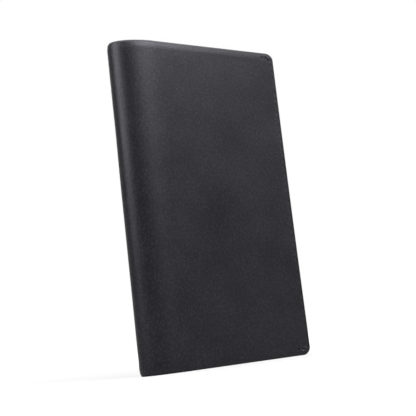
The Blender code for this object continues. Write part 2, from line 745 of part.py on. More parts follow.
def make_slider(add, materials):
    """Zip slider: two plates on a neck, side flanges and a crown for the puller."""
    bottom_depth = TAPE_DEPTH - CLEARANCE - SLIDER_BOTTOM
    top_end = SLIDER_TOP_DEPTH + SLIDER_TOP
    sink = SLIDER_BOTTOM / 2
    body = slider_plate((SLIDER_TOP_DEPTH, top_end))
    half_neck = TOOTH_SPLIT / 2 - CLEARANCE
    neck = inside_box(
        BACK,
        (ZIP_CENTRE - half_neck, ZIP_CENTRE + half_neck),
        (bottom_depth + sink, SLIDER_TOP_DEPTH + sink),
        (SLIDER_Z - SLIDER_LENGTH / 6, SLIDER_Z + SLIDER_LENGTH / 3),
    )
    pieces = [neck, slider_plate((bottom_depth, bottom_depth + SLIDER_BOTTOM))]
    flange_height = (SLIDER_Z - SLIDER_LENGTH / 4, SLIDER_Z + SLIDER_LENGTH / 4)
    flange_out = SLIDER_TAIL / 2
    for way in (-1, 1):
        edges = sorted((way * flange_out, way * (flange_out - SLIDER_FLANGE)))
        flange_reach = (ZIP_CENTRE + edges[0], ZIP_CENTRE + edges[1])
        flange_depth = (TOOTH_DEPTH, SLIDER_TOP_DEPTH + sink)
        pieces.append(inside_box(BACK, flange_reach, flange_depth, flange_height))
    crown_reach = (ZIP_CENTRE - CROWN_WIDTH / 2, ZIP_CENTRE + CROWN_WIDTH / 2)
    crown_top = CROWN_DEPTH + CROWN_ROOM + CROWN_BAR
    crown = inside_box(
        BACK,
        crown_reach,
        (CROWN_DEPTH - sink, crown_top),
        (SLIDER_Z - CROWN_LENGTH / 2, SLIDER_Z + CROWN_LENGTH / 2),
        SMALL_EDGE,
    )
    inner_half = CROWN_LENGTH / 2 - CROWN_BAR
    room = inside_box(
        BACK,
        (crown_reach[0] - CROWN_WIDTH, crown_reach[1] + CROWN_WIDTH),
        (CROWN_DEPTH - 2 * sink, CROWN_DEPTH + CROWN_ROOM),
        (SLIDER_Z - inner_half, SLIDER_Z + inner_half),
    )
    pieces.append(combine(crown, [room], "DIFFERENCE"))
    add("zip_slider", combine(body, pieces, "UNION"), materials["metal"], "zip_slider")


def make_puller(add, materials):
    """Zip puller: a tag whose end bar turns under the slider's crown."""
    half = PULLER_THICKNESS / 2
    depth = (PULLER_AXIS_DEPTH - half, PULLER_AXIS_DEPTH + half)
    top = PULLER_AXIS_Z + PULLER_BAR / 2
    tag_reach = (ZIP_CENTRE - PULLER_WIDTH / 2, ZIP_CENTRE + PULLER_WIDTH / 2)
    corners = rectangle(tag_reach, (top - PULLER_LENGTH, top))
    corners = [
        (reach, up, EDGE_ROUND if up < PULLER_AXIS_Z else PULLER_BAR / 2)
        for reach, up, _ in corners
    ]
    tag = inside_plate(BACK, corners, depth)
    window = inside_box(
        BACK,
        (tag_reach[0] + PULLER_ARM, tag_reach[1] - PULLER_ARM),
        (depth[0] - PULLER_THICKNESS, depth[1] + PULLER_THICKNESS),
        (top - PULLER_BAR - PULLER_WINDOW, top - PULLER_BAR),
    )
    tag = combine(tag, [window], "DIFFERENCE")
    add("zip_puller", tag, materials["metal"], "zip_puller")


def make_pen_loop(add, materials):
    """Pen loop: a ring of leather on a foot that lies on the lining by the spine."""
    angle = math.acos(1 - LOOP_REACH / NOSE_DEPTH) if LOOP_REACH < NOSE_DEPTH else math.pi / 2
    run = -float(np.interp(angle, NOSE_ANGLES, NOSE_RUNS))
    point, normal = surface_frame(run)
    tangent = Vector((-normal.y, normal.x))
    foot_depth = SPINE_INNER + CLEARANCE
    foot_middle = point + normal * (foot_depth + LOOP_LEATHER / 2)
    outer = PEN_BORE / 2 + LOOP_LEATHER
    centre = point + normal * (foot_depth + outer)
    height = Vector((0.0, 0.0, LOOP_HEIGHT))
    stand = Matrix.Identity(4)
    stand.col[0] = (*tangent, 0.0, 0.0)
    stand.col[1] = (-tangent.y, tangent.x, 0.0, 0.0)
    foot = box_mesh(
        (-LOOP_FOOT_WIDTH / 2, -LOOP_LEATHER / 2, -LOOP_LENGTH / 2),
        (LOOP_FOOT_WIDTH / 2, LOOP_LEATHER / 2, LOOP_LENGTH / 2),
    )
    foot.transform(Matrix.Translation((*foot_middle, LOOP_HEIGHT)) @ stand)
    place = Matrix.Translation(Vector((*centre, 0.0)) + height)
    ring = cylinder_mesh(outer, LOOP_LENGTH, place)
    bore = cylinder_mesh(PEN_BORE / 2, 2 * LOOP_LENGTH, place)
    loop = combine(combine(ring, [foot], "UNION"), [bore], "DIFFERENCE")
    add("pen_loop", loop, materials["leather"], "back_cover")


def make_joints(collection):
    """One empty on each joint's axis, chained from the back cover to the front."""
    empties = {"back_cover": None}
    parent = None
    names = [f"spine_{index}" for index in range(1, HINGE_COUNT)] + ["front_cover"]
    places = {}
    for name, run in zip(names, hinge_runs()):
        point, _ = surface_frame(run)
        places[name] = (parent, Vector((point.x, point.y, 0.0)))
        parent = name
    zip_x = ZIP_CENTRE - WIDTH / 2
    places["zip_slider"] = (None, Vector((zip_x, cover_y(BACK, CROWN_DEPTH), SLIDER_Z)))
    puller_place = Vector((zip_x, cover_y(BACK, PULLER_AXIS_DEPTH), PULLER_AXIS_Z))
    places["zip_puller"] = ("zip_slider", puller_place)
    for name, (parent_name, place) in places.items():
        empty = bpy.data.objects.new(f"{name}_joint", None)
        collection.objects.link(empty)
        if parent_name:
            empty.parent = empties[parent_name]
            empty.location = place - places[parent_name][1]
        else:
            empty.location = place
        empty["axis_place"] = list(place)
        empties[name] = empty
    return empties


def build():
    """Builds every piece of the wallet in its own object."""
    clear_scene()
    parts = new_collection("travel_document_wallet")
    empties = make_joints(parts)
    colours = {
        "leather": new_material("black_leather", (0.012, 0.012, 0.013), 0.45),
        "lining": new_material("black_lining", (0.018, 0.018, 0.020), 0.85),
        "board": new_material("grey_board", (0.20, 0.19, 0.17), 0.90),
        "thread": new_material("black_thread", (0.014, 0.014, 0.015), 0.60),
        "tape": new_material("zip_tape_cloth", (0.015, 0.015, 0.016), 0.90),
        "metal": new_material("nickel_plated_metal", (0.62, 0.61, 0.58), 0.28, 1.0),
    }

    def add(name, mesh, material, body):
        mesh.name = name
        mesh.materials.clear()
        mesh.materials.append(material.copy())
        mesh.materials[0].name = f"{name}_surface"
        mesh.shade_smooth()
        mesh.set_sharp_from_angle(angle=math.radians(25.0))
        item = add_object(name, mesh, parts)
        empty = empties[body]
        if empty is not None:
            item.parent = empty
            place = Vector(empty["axis_place"])
            mesh.transform(Matrix.Translation(-place))
        return item

    make_covers(add, colours)
    make_spine(add, colours)
    make_passport_pocket(add, colours)
    make_card_slots(add, colours)
    make_ticket_pocket(add, colours)
    make_zip_pocket(add, colours)
    make_zip_chain(add, colours)
    make_slider(add, colours)
    make_puller(add, colours)
    make_pen_loop(add, colours)


build()
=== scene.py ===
import math

import bmesh
import bpy
import numpy as np
from mathutils import Matrix, Vector


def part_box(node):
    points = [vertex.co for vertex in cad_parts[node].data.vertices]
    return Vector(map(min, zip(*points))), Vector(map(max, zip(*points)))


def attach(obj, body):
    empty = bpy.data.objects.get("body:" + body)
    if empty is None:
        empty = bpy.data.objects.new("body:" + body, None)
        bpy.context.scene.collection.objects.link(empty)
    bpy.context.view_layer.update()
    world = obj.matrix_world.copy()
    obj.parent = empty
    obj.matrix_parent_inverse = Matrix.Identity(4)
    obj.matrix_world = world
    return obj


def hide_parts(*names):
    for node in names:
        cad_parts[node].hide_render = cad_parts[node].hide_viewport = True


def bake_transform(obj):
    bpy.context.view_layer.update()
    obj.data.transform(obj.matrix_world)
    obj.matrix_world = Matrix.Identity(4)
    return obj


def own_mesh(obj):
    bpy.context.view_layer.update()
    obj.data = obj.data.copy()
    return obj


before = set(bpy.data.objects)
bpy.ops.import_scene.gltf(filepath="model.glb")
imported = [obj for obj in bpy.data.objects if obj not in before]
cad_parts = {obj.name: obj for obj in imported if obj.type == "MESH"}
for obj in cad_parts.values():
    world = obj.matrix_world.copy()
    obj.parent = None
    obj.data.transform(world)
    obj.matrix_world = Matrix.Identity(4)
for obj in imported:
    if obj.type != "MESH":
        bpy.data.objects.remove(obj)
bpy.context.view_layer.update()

# Sizes of the case, in metres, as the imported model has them
HEIGHT = 0.222
WIDTH = 0.130
HALF = 0.0145
NOSE_DEPTH = 0.029
CORNER_RADIUS = 0.0056
LEATHER = 0.0012
RIM_WIDTH = 0.0035
SPINE_THICK = 0.0021
COVER_THICK = 0.0042
COVER_RISE = 0.0030
LINING = 0.0006
HINGE_TURNS = (-75.0, -45.0, -15.0, 15.0, 45.0, 75.0)

# Shape of the turned edge: its roundings, how far it is turned in, and how the faces fall towards it
EDGE_ROUND = 0.0018
FORE_ROUND = 0.0010
ROUND_SHARE = 0.62
INNER_ROUND = 0.0008
TURN_IN = 0.0008
TURN_END = 0.0014
FOLD_GAP = 0.00004
GRID_INSET = 0.0032
FORE_BOW = 0.0004
PILLOW_DEPTH = 0.0008
PILLOW_REACH = 0.0060
WAVE_DEPTH = 0.00004
WAVE_MARGIN = 0.002
WAVE_FADE = 0.010

# Seam along the fore edge: its stitches, and how it presses the leather in, more so at its two ends
STITCH_PITCH = 0.0051
STITCH_LENGTH = 0.0037
SEAM_CORNER = ((0.0110, 0.0044), (0.0068, 0.0040), (0.0031, 0.0063), (0.0023, 0.0076))
SEAM_START = 0.0001
END_GAP = 0.0003
TURN_GAP = 0.0004
SEAM_REACH = 0.02
SEAM_SAMPLE = 0.0002
SAMPLE_BLOCK = 60
GROOVE_DEPTH = 0.00008
GROOVE_WIDTH = 0.0007
HOLLOW_DEPTH = 0.00005
HOLLOW_WIDTH = 0.0030
PINCH_DEPTH = 0.00006
PINCH_WIDTH = 0.00060
END_GROOVE = 0.00014
END_PINCH = 0.00044
END_REACH = 0.010
END_FADE = 0.004
END_PULL = (0.9, 0.6)
SEAM_SINK = 0.55
SEAM_DROP = 0.00010

# Grid of the case's sheets: widest steps, and distances from an edge where they change
NOSE_STEP = 0.0012
COVER_STEP = 0.0030
OUTER_STEP = 0.0011
SEAM_STEP = 0.00045
CORNER_STEP = 0.00036
END_STEP = 0.0009
OUTER_ZONE = 0.018
SEAM_ZONE = 0.0125
END_ZONES = (0.0085, 0.012)
CUT_CLEAR = 0.0004
CUT_THIN = 0.0001

# The rolled spine is half an ellipse; these tables hold its arc length
TURN_TABLE = np.linspace(0.0, math.pi / 2, 4001)
SPEED_TABLE = np.hypot(NOSE_DEPTH * np.sin(TURN_TABLE), HALF * np.cos(TURN_TABLE))
STEP_TABLE = (SPEED_TABLE[1:] + SPEED_TABLE[:-1]) / 2 * np.diff(TURN_TABLE)
RUN_TABLE = np.append(0.0, np.cumsum(STEP_TABLE))
NOSE_RUN = float(RUN_TABLE[-1])
FORE_RUN = NOSE_RUN + WIDTH - NOSE_DEPTH


def smoothstep(value):
    """Smooth rise from 0 to 1."""
    value = np.clip(value, 0.0, 1.0)
    return value * value * (3 - 2 * value)


def bell(distance, width):
    """Smooth hump: 1 at no distance, and next to nothing at twice the width."""
    return np.exp(-((distance / width) ** 2))


def inside(value, span):
    """Distance inside the nearer end of a span."""
    return np.minimum(value - span[0], span[1] - value)


def share_of(value, span):
    """Share of a span that a value has passed, from 0 to 1."""
    return np.clip((value - span[0]) / (span[1] - span[0]), 0, 1)


def graded(*marks):
    """Even grid lines from mark to mark, up to the last; a mark is a place and the widest step after it."""
    lines = []
    for (start, step), (end, _) in zip(marks, marks[1:]):
        count = max(1, math.ceil(abs(end - start) / step))
        lines += list(np.linspace(start, end, count + 1)[:-1])
    return lines


def run_at_turn(turn):
    """Run where the leather has turned by this many degrees from the nose."""
    angle = math.atan(HALF / NOSE_DEPTH * math.tan(math.radians(abs(turn))))
    return math.copysign(float(np.interp(angle, TURN_TABLE, RUN_TABLE)), turn)


def rolled(run, depth, z):
    """World places of points given by run, depth and height on the rolled leather."""
    run, depth, z = np.broadcast_arrays(*(np.asarray(part, float) for part in (run, depth, z)))
    side = np.where(run >= 0, -1.0, 1.0)
    bow = 1 - (2 * z / HEIGHT - 1) ** 2
    length = np.abs(run) - FORE_BOW * bow * share_of(np.abs(run), (NOSE_RUN, FORE_RUN))
    turn = np.interp(length, RUN_TABLE, TURN_TABLE)
    straight = np.maximum(length - NOSE_RUN, 0.0)
    normal_x = HALF * np.cos(turn)
    normal_y = -side * NOSE_DEPTH * np.sin(turn)
    scale = depth / np.hypot(normal_x, normal_y)
    x = NOSE_DEPTH * (1 - np.cos(turn)) + straight - WIDTH / 2
    y = side * HALF * np.sin(turn)
    return np.stack([x + normal_x * scale, y + normal_y * scale, z], -1)


# Pieces are made from places and faces


def in_scene(name, data):
    """An object in the scene."""
    item = bpy.data.objects.new(name, data)
    bpy.context.scene.collection.objects.link(item)
    return item


def new_piece(name, places, faces, flat=None, closed=True):
    """A smooth piece, with the flat places as its grain map in millimetres; a closed one faces outwards."""
    mesh = bpy.data.meshes.new(name)
    mesh.from_pydata([tuple(place) for place in places], [], faces)
    mesh.update()
    if flat is not None:
        layer = mesh.uv_layers.new(name="grain_mm")
        corner_verts = np.empty(len(mesh.loops), np.int32)
        mesh.loops.foreach_get("vertex_index", corner_verts)
        layer.uv.foreach_set("vector", (np.asarray(flat)[corner_verts] * 1000).astype(np.float32).ravel())
    mesh.validate()
    if closed:
        work = bmesh.new()
        work.from_mesh(mesh)
        bmesh.ops.recalc_face_normals(work, faces=work.faces[:])
        work.to_mesh(mesh)
        work.free()
    item = in_scene(name, mesh)
    mesh.shade_smooth()
    return item


def dress(item, material, body, nodes=()):
    """Gives a piece its material and the body it rides on, and hides the nodes that it stands for."""
    item.data.materials.append(material)
    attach(item, body)
    if nodes:
        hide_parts(*nodes)


def grid_faces(index):
    """Faces between the points of a grid."""
    return np.stack([index[:-1, :-1], index[1:, :-1], index[1:, 1:], index[:-1, 1:]], -1).reshape(-1, 4)


def ring_faces(first, second):
    """Faces between two closed rings of points."""
    return np.stack([first, second, np.roll(second, -1), np.roll(first, -1)], -1).tolist()


def band_faces(rings):
    """Faces between closed rings of points, one after the other, the other way round."""
    return grid_faces(np.pad(rings, ((0, 0), (0, 1)), "wrap").T).tolist()


def tube_faces(base, rings, count):
    """Faces of a tube of rings of points, closed at both ends."""
    index = base + np.arange(rings * count).reshape(rings, count)
    return band_faces(index) + [index[0, ::-1].tolist(), index[-1].tolist()]


def kept_points(faces, *tables):
    """Faces renumbered over the points that they use, and the rows of the tables for those points."""
    used = sorted(set(vert for face in faces for vert in face))
    number = {vert: count for count, vert in enumerate(used)}
    return [[number[vert] for vert in face] for face in faces], *(table[used] for table in tables)


def rounded_grid(columns, rows, radius):
    """Flat places of a grid whose four corners are drawn in to quarter circles."""
    flat = np.stack(np.meshgrid(columns, rows, indexing="ij"), -1)
    low, high = flat[0, 0], flat[-1, -1]
    middle, core = (low + high) / 2, (high - low) / 2 - radius
    part = np.clip((np.abs(flat - middle) - core) / radius, 0, 1)
    drawn = core + radius * part * np.sqrt(1 - part[..., ::-1] ** 2 / 2)
    drawn = middle + np.sign(flat - middle) * drawn
    return np.moveaxis(np.where((part > 0).all(-1, keepdims=True), drawn, flat), -1, 0)


def border_of(shape):
    """Grid places round the border, in order, as column and row numbers."""
    last_i, last_j = shape[0] - 1, shape[1] - 1
    loop = [(i, 0) for i in range(last_i)]
    loop += [(last_i, j) for j in range(last_j)]
    loop += [(i, last_j) for i in range(last_i, 0, -1)]
    loop += [(0, j) for j in range(last_j, 0, -1)]
    return tuple(np.array(loop).T)


# The seam of a cover, unrolled, from its upper end down the fore edge to its lower end
SEAM = [(FORE_RUN - inset, HEIGHT - away) for inset, away in SEAM_CORNER]
SEAM = np.array(SEAM + [(run, HEIGHT - z) for run, z in reversed(SEAM)])
SEAM_MARKS = np.append(0.0, np.cumsum(np.hypot(*np.diff(SEAM, axis=0).T)))
SEAM_LENGTH = SEAM_MARKS[-1]


def seam_point(distance):
    """Places on the seam at distances along it."""
    return np.stack([np.interp(distance, SEAM_MARKS, SEAM[:, axis]) for axis in (0, 1)], -1)


def seam_spans():
    """Start and end of each stitch along the seam: two at each end and even ones between them."""
    last, turn = SEAM_MARKS[1], SEAM_MARKS[2]
    spans = [(SEAM_START, last - END_GAP), (last + END_GAP, turn - TURN_GAP)]
    mirrored = [(SEAM_LENGTH - low, SEAM_LENGTH - high) for low, high in reversed(spans)]
    start, end = turn + TURN_GAP, SEAM_LENGTH - turn - TURN_GAP
    count = round((end - start + STITCH_PITCH - STITCH_LENGTH) / STITCH_PITCH)
    pitch = (end - start - STITCH_LENGTH) / (count - 1)
    begins = [start + number * pitch for number in range(count)]
    return spans + [(begin, begin + STITCH_LENGTH) for begin in begins] + mirrored


SEAM_STITCHES = seam_spans()
SEAM_HOLES = np.sort(np.array(SEAM_STITCHES).ravel())
SEAM_DISTANCES = np.arange(0.0, SEAM_LENGTH, SEAM_SAMPLE)
SEAM_SAMPLES = seam_point(SEAM_DISTANCES)


def seam_relief(run, z):
    """How far the seam presses a cover's face in, at flat places."""
    run = np.abs(run)
    relief = np.zeros(run.shape)
    near = run > FORE_RUN - SEAM_REACH
    places = np.stack([run[near], z[near]], -1)
    closest = np.full(len(places), 1.0)
    at = np.zeros(len(places))
    for start in range(0, len(SEAM_SAMPLES), SAMPLE_BLOCK):
        block = slice(start, start + SAMPLE_BLOCK)
        gaps = np.hypot(*(places[:, None, :] - SEAM_SAMPLES[None, block]).transpose(2, 0, 1))
        best = gaps.argmin(1)
        gap = gaps[np.arange(len(places)), best]
        better = gap < closest
        closest[better] = gap[better]
        at[better] = SEAM_DISTANCES[block][best[better]]
    after = np.clip(np.searchsorted(SEAM_HOLES, at), 1, len(SEAM_HOLES) - 1)
    hole = np.minimum(np.abs(at - SEAM_HOLES[after - 1]), np.abs(SEAM_HOLES[after] - at))
    ends = smoothstep((END_REACH - inside(at, (0.0, SEAM_LENGTH))) / END_FADE)
    ends *= END_PULL[0] + END_PULL[1] * at / SEAM_LENGTH
    relief[near] = (GROOVE_DEPTH + END_GROOVE * ends) * bell(closest, GROOVE_WIDTH)
    relief[near] += (PINCH_DEPTH + END_PINCH * ends) * bell(np.hypot(hole, closest), PINCH_WIDTH)
    relief[near] += HOLLOW_DEPTH * bell(closest, HOLLOW_WIDTH)
    return relief


def soft_relief(run, z):
    """Slow, slight waves of soft leather over the case, and its fall towards the edges."""
    a, b = run * 1000, z * 1000
    waves = (
        np.sin(a / 17.0 + 0.6 * np.sin(b / 31.0) + 1.1)
        + np.sin(b / 23.0 + 0.9 * np.sin(a / 26.0) + 0.4)
        + 0.7 * np.sin((a + b) / 13.0 + 2.0)
        + 0.6 * np.sin((a * 0.6 - b) / 9.0 + 0.7)
    )
    ends = inside(z, (0.0, HEIGHT))
    margin = np.minimum(ends, FORE_RUN - np.abs(run))
    fall = PILLOW_DEPTH * np.clip(1 - ends / PILLOW_REACH, 0, 1) ** 2
    return WAVE_DEPTH * waves * smoothstep((margin - WAVE_MARGIN) / WAVE_FADE) + fall


# The outer leather is one sheet, rolled round the spine

HINGES = [run_at_turn(turn) for turn in HINGE_TURNS]
CUTS = [(before + after) / 2 for before, after in zip(HINGES, HINGES[1:])]
CUTS = [2 * HINGES[0] - CUTS[0], *CUTS, 2 * HINGES[-1] - CUTS[-1]]
BODIES = ["back_cover", *(f"spine_{number}" for number in range(1, 6)), "front_cover"]
SHEET_PIECES = [*BODIES[:-1], "spine_6", "front_cover"]


def case_thickness(run):
    """Depth of the turned edge: thin round the spine, thicker over the boards."""
    rise = smoothstep((np.abs(run) - NOSE_RUN + COVER_RISE) / COVER_RISE)
    return SPINE_THICK + (COVER_THICK - SPINE_THICK) * rise


def case_columns(inset):
    """Runs of the columns of the case's sheets, the same on both halves."""
    end = FORE_RUN - inset
    right = graded(
        (0.0, NOSE_STEP), (NOSE_RUN, COVER_STEP), (FORE_RUN - OUTER_ZONE, OUTER_STEP),
        (FORE_RUN - SEAM_ZONE, SEAM_STEP), (FORE_RUN - CORNER_RADIUS, CORNER_STEP), (end, None),
    )
    right = [run for run in right + [end] if all(abs(run - abs(cut)) > CUT_CLEAR for cut in CUTS)]
    for cut in CUTS:
        if cut > -CUT_THIN:
            right += [abs(cut - CUT_THIN), abs(cut), cut + CUT_THIN]
    right = sorted(set(round(run, 7) for run in right))
    return np.array([-run for run in reversed(right) if run > 0] + right)


def case_rows(inset, step):
    """Heights of the rows of the case's sheets."""
    near, far = END_ZONES
    low = graded((inset, CORNER_STEP), (CORNER_RADIUS, SEAM_STEP), (near, END_STEP), (far, None))
    middle = graded((far, step), (HEIGHT - far, None))
    return np.array(low + middle + [HEIGHT - far] + [HEIGHT - value for value in reversed(low)])


def edge_profile(thick, rounding):
    """Offset inwards and depth of each ring of the turned edge, for places along the border."""
    outer_depth = np.minimum(rounding, ROUND_SHARE * thick)
    rings = [(GRID_INSET + (rounding - GRID_INSET) * share, 0.0) for share in (0.2, 0.4, 0.6, 0.8, 1.0)]
    for angle in np.radians(np.arange(15, 91, 15)):
        rings.append((rounding * (1 - math.sin(angle)), outer_depth * (1 - math.cos(angle))))
    rings.append((0.0, (outer_depth + thick - INNER_ROUND) / 2))
    for angle in np.radians(np.arange(0, 91, 22.5)):
        rings.append((INNER_ROUND * (1 - math.cos(angle)), thick - INNER_ROUND * (1 - math.sin(angle))))
    rings += [
        (RIM_WIDTH / 2, thick), (RIM_WIDTH - 0.0003, thick - 0.00003), (RIM_WIDTH, thick - 0.0002),
        (RIM_WIDTH, thick - TURN_IN), (TURN_END, thick - TURN_IN), (TURN_END, LEATHER + FOLD_GAP),
    ]
    return [np.broadcast_arrays(inset, depth, thick)[:2] for inset, depth in rings]


def case_sheet():
    """The whole outer leather, unrolled: flat places, depths, grain map, faces and the run of each face."""
    columns = case_columns(GRID_INSET)
    rows = case_rows(GRID_INSET, STITCH_PITCH / 4)
    run, z = rounded_grid(columns, rows, CORNER_RADIUS - GRID_INSET)
    index = np.arange(run.size).reshape(run.shape)
    grid = np.stack([run.ravel(), z.ravel()], -1)
    flat, maps, depths = [grid], [grid], [seam_relief(*grid.T) + soft_relief(*grid.T)]
    middles = (columns[1:] + columns[:-1]) / 2
    faces = grid_faces(index).tolist()
    face_runs = [*np.repeat(middles, len(rows) - 1)]

    # Rings round the turned edge
    picks = border_of(run.shape)
    previous, border_runs = index[picks], columns[picks[0]]
    border, count = grid[previous], len(previous)
    limit = np.array([FORE_RUN - CORNER_RADIUS, HEIGHT / 2 - CORNER_RADIUS])
    centred = border - (0.0, HEIGHT / 2)
    outward = centred - np.clip(centred, -limit, limit)
    outward /= np.linalg.norm(outward, axis=1)[:, None]
    rounding = EDGE_ROUND + (FORE_ROUND - EDGE_ROUND) * outward[:, 0] ** 2
    travelled, last_inset, last_depth = 0.0, GRID_INSET, 0.0
    for number, (inset, depth) in enumerate(edge_profile(case_thickness(border[:, 0]), rounding)):
        places = border + outward * (GRID_INSET - inset)[:, None]
        travelled = travelled + np.hypot(inset - last_inset, depth - last_depth)
        last_inset, last_depth = inset, depth
        on_face = smoothstep((inset - 0.0006) / 0.0012) * (depth < 0.0009)
        relief = seam_relief(*places.T) * on_face
        relief += soft_relief(*places.T) * smoothstep(1 - depth / rounding)
        flat.append(places)
        maps.append(border + outward * travelled[:, None])
        depths.append(depth + relief)
        ring = run.size + number * count + np.arange(count)
        faces += ring_faces(previous, ring)
        face_runs += [*((border_runs + np.roll(border_runs, -1)) / 2)]
        previous = ring

    # Strips from the lower to the upper rim close the underside
    last_i, last_j = run.shape[0] - 1, run.shape[1] - 1
    low, right, high, left = np.split(previous, np.cumsum([last_i, last_j, last_i]))
    low = [*low, right[0]]
    high = [*high, left[0]][::-1]
    for i in range(last_i):
        rise = left[:0:-1] if i == 0 else []
        fall = right[:0:-1] if i == last_i - 1 else []
        faces.append([low[i], *rise, high[i], high[i + 1], *fall, low[i + 1]])
    return np.concatenate(flat), np.concatenate(depths), np.concatenate(maps), faces, face_runs + [*middles]


def split_sheet(kind, cover_kind, material, flat, depths, maps, faces, face_runs):
    """Cuts a case sheet at the middles of the spine's strips: a piece on each cover, and six spine pieces
    that stay where they are made.
    """
    places = rolled(flat[:, 0], depths, flat[:, 1])
    nodes = [f"spine_{kind}_{number}" for number in range(1, 6)]
    nodes = [f"back_{cover_kind}", *nodes, None, f"front_{cover_kind}"]
    for number, (low, high) in enumerate(zip([-1.0] + CUTS, CUTS + [1.0])):
        chosen = [face for face, run in zip(faces, face_runs) if low < run <= high]
        new_faces, new_places, new_maps = kept_points(chosen, places, maps)
        item = new_piece(f"{kind}_{SHEET_PIECES[number]}", new_places, new_faces, new_maps, closed=False)
        item.data.materials.append(material)
        if 0 < number < len(BODIES):
            start, end = rolled(low, 0.0, 0.0), rolled(high, 0.0, 0.0)
            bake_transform(item)
        else:
            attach(item, SHEET_PIECES[number])
        if nodes[number]:
            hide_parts(nodes[number])


# Materials; a source is a node and the name of one of its outputs


def feed(node, socket, value):
    """Sets a node's input, or links it to a source."""
    if isinstance(value, tuple) and isinstance(value[1], str):
        node.id_data.links.new(value[0].outputs[value[1]], node.inputs[socket])
    else:
        node.inputs[socket].default_value = value


def set_values(node, **values):
    """Sets a node's settings and inputs by name."""
    for key, value in values.items():
        if hasattr(node, key):
            setattr(node, key, value)
        else:
            feed(node, key.replace("_", " "), value)


def source(tree, kind, output, *inputs, **values):
    """An output of a new node: its first inputs come in order, its settings and other inputs by name."""
    node = tree.nodes.new(f"ShaderNode{kind}")
    set_values(node, **values)
    for slot, value in enumerate(inputs):
        feed(node, slot, value)
    return node, output


def maths(operation, first, *others, **settings):
    """The result of a Math node on a source and other values."""
    return source(first[0].id_data, "Math", "Value", first, *others, operation=operation, **settings)


def ramp(value, *stops):
    """The colour at a value, from the first (position, colour) to the second."""
    colour = source(value[0].id_data, "ValToRGB", "Color", value)
    for element, (position, tone) in zip(colour[0].color_ramp.elements, stops):
        element.position = position
        element.color = (*tone, 1.0)
    return colour


def bump(height, strength, distance):
    """The direction of a surface that a value raises."""
    tree = height[0].id_data
    return source(tree, "Bump", "Normal", Height=height, Strength=strength, Distance=distance)


def start_material(name, **values):
    """A material with the values of its Principled shader."""
    material = bpy.data.materials.new(name)
    material.use_nodes = True
    shader = material.node_tree.nodes["Principled BSDF"]
    set_values(shader, **values)
    return material, material.node_tree, shader


# Leather: slant, stretch and warp of its grain in millimetres, and its slightly blue gloss
GRAIN_TURN = math.radians(50)
GRAIN_STRETCH = 2.1
GRAIN_WARP = 1.6
GLOSS_TINT = (0.885, 0.88, 1.0, 1.0)


def leather_material(name, dark, light, roughness, grain_depth, cell, specular):
    """Fine leather: low grain of about cell millimetres, drawn out aslant, with pores and slow changes; its
    colour follows the grain's height, with painted shade in the creases and painted light on the pebbles.
    """
    material, tree, shader = start_material(
        name, Roughness=roughness, Specular_IOR_Level=specular, Specular_Tint=GLOSS_TINT
    )
    flat_places = source(tree, "UVMap", "UV", uv_map="grain_mm")
    places = source(
        tree, "Mapping", "Vector", flat_places, vector_type="TEXTURE",
        Rotation=(0.0, 0.0, GRAIN_TURN), Scale=(GRAIN_STRETCH, 1.0, 1.0),
    )
    warp = source(tree, "TexNoise", "Color", places, Scale=0.35, Detail=2.0)
    warped = source(
        tree, "VectorMath", "Vector", warp, (GRAIN_WARP,) * 3, places, operation="MULTIPLY_ADD"
    )
    pebble, crease = (
        source(tree, "TexVoronoi", "Distance", warped, feature=feature, Scale=scale / cell)
        for feature, scale in (("SMOOTH_F1", 1.0), ("DISTANCE_TO_EDGE", 0.52))
    )
    set_values(pebble[0], Smoothness=0.55)
    pores = source(tree, "TexNoise", "Fac", places, Scale=2.6, Detail=3.0, Roughness=0.6)
    slow = source(tree, "TexNoise", "Fac", flat_places, Scale=0.035, Detail=3.0, Roughness=0.55)
    valley = maths("MULTIPLY", crease, 2.6, use_clamp=True)
    height = maths("MULTIPLY_ADD", valley, 0.75, maths("MULTIPLY", pebble, -1.0))
    height = maths("MULTIPLY_ADD", pores, 0.55, height)
    # Colour from the grain's height is painted shade in the creases and painted light on the pebbles, over
    # slow random tone
    tone = maths("MULTIPLY_ADD", slow, 0.45, maths("MULTIPLY_ADD", height, 0.90, 0.12))
    rough = maths("MULTIPLY_ADD", slow, 0.16, roughness - 0.08)
    set_values(
        shader, Base_Color=ramp(tone, (0.25, dark), (0.75, light)),
        Roughness=maths("MULTIPLY_ADD", valley, -0.06, rough),
        Normal=bump(height, 1.0, grain_depth),
    )
    return material


def cloth_material(name, dark, light, thread_mm, bump_depth):
    """Woven cloth: fine crossed threads, seen as a twill."""
    material, tree, shader = start_material(name, Roughness=0.85, Sheen_Weight=0.22, Sheen_Roughness=0.5)
    places = source(tree, "UVMap", "UV", uv_map="grain_mm")
    across, along = (
        source(
            tree, "TexWave", "Fac", places, bands_direction=direction, Distortion=0.3,
            Scale=0.062 * math.pi / thread_mm, Detail_Scale=0.5,
        )
        for direction in ("X", "Y")
    )
    slow = source(tree, "TexNoise", "Fac", places, Scale=0.06, Detail=2.0)
    over = maths("MULTIPLY", across, along)
    tone = maths("MULTIPLY_ADD", slow, 0.5, maths("MULTIPLY", over, 0.5))
    colour = ramp(tone, (0.15, dark), (0.8, light))
    set_values(shader, Base_Color=colour, Normal=bump(over, 0.8, bump_depth))
    return material


def fibre_material(name, dark, light, stops, strength, noise, **values):
    """Thread or board: cloudy fibres that change its tone between two stops and raise it a little."""
    material, tree, shader = start_material(name, **values)
    fibres = source(tree, "TexNoise", "Fac", source(tree, "TexCoord", "Object"), **noise)
    colour = ramp(fibres, *zip(stops, (dark, light)))
    set_values(shader, Base_Color=colour, Normal=bump(fibres, strength, 0.00005))
    return material


def thread_material(name, dark, light, roughness, specular):
    """Waxed sewing thread with its plies."""
    return fibre_material(
        name, dark, light, (0.3, 0.7), 0.5, {"Scale": 3500.0, "Detail": 2.0},
        Roughness=roughness, Specular_IOR_Level=specular,
    )


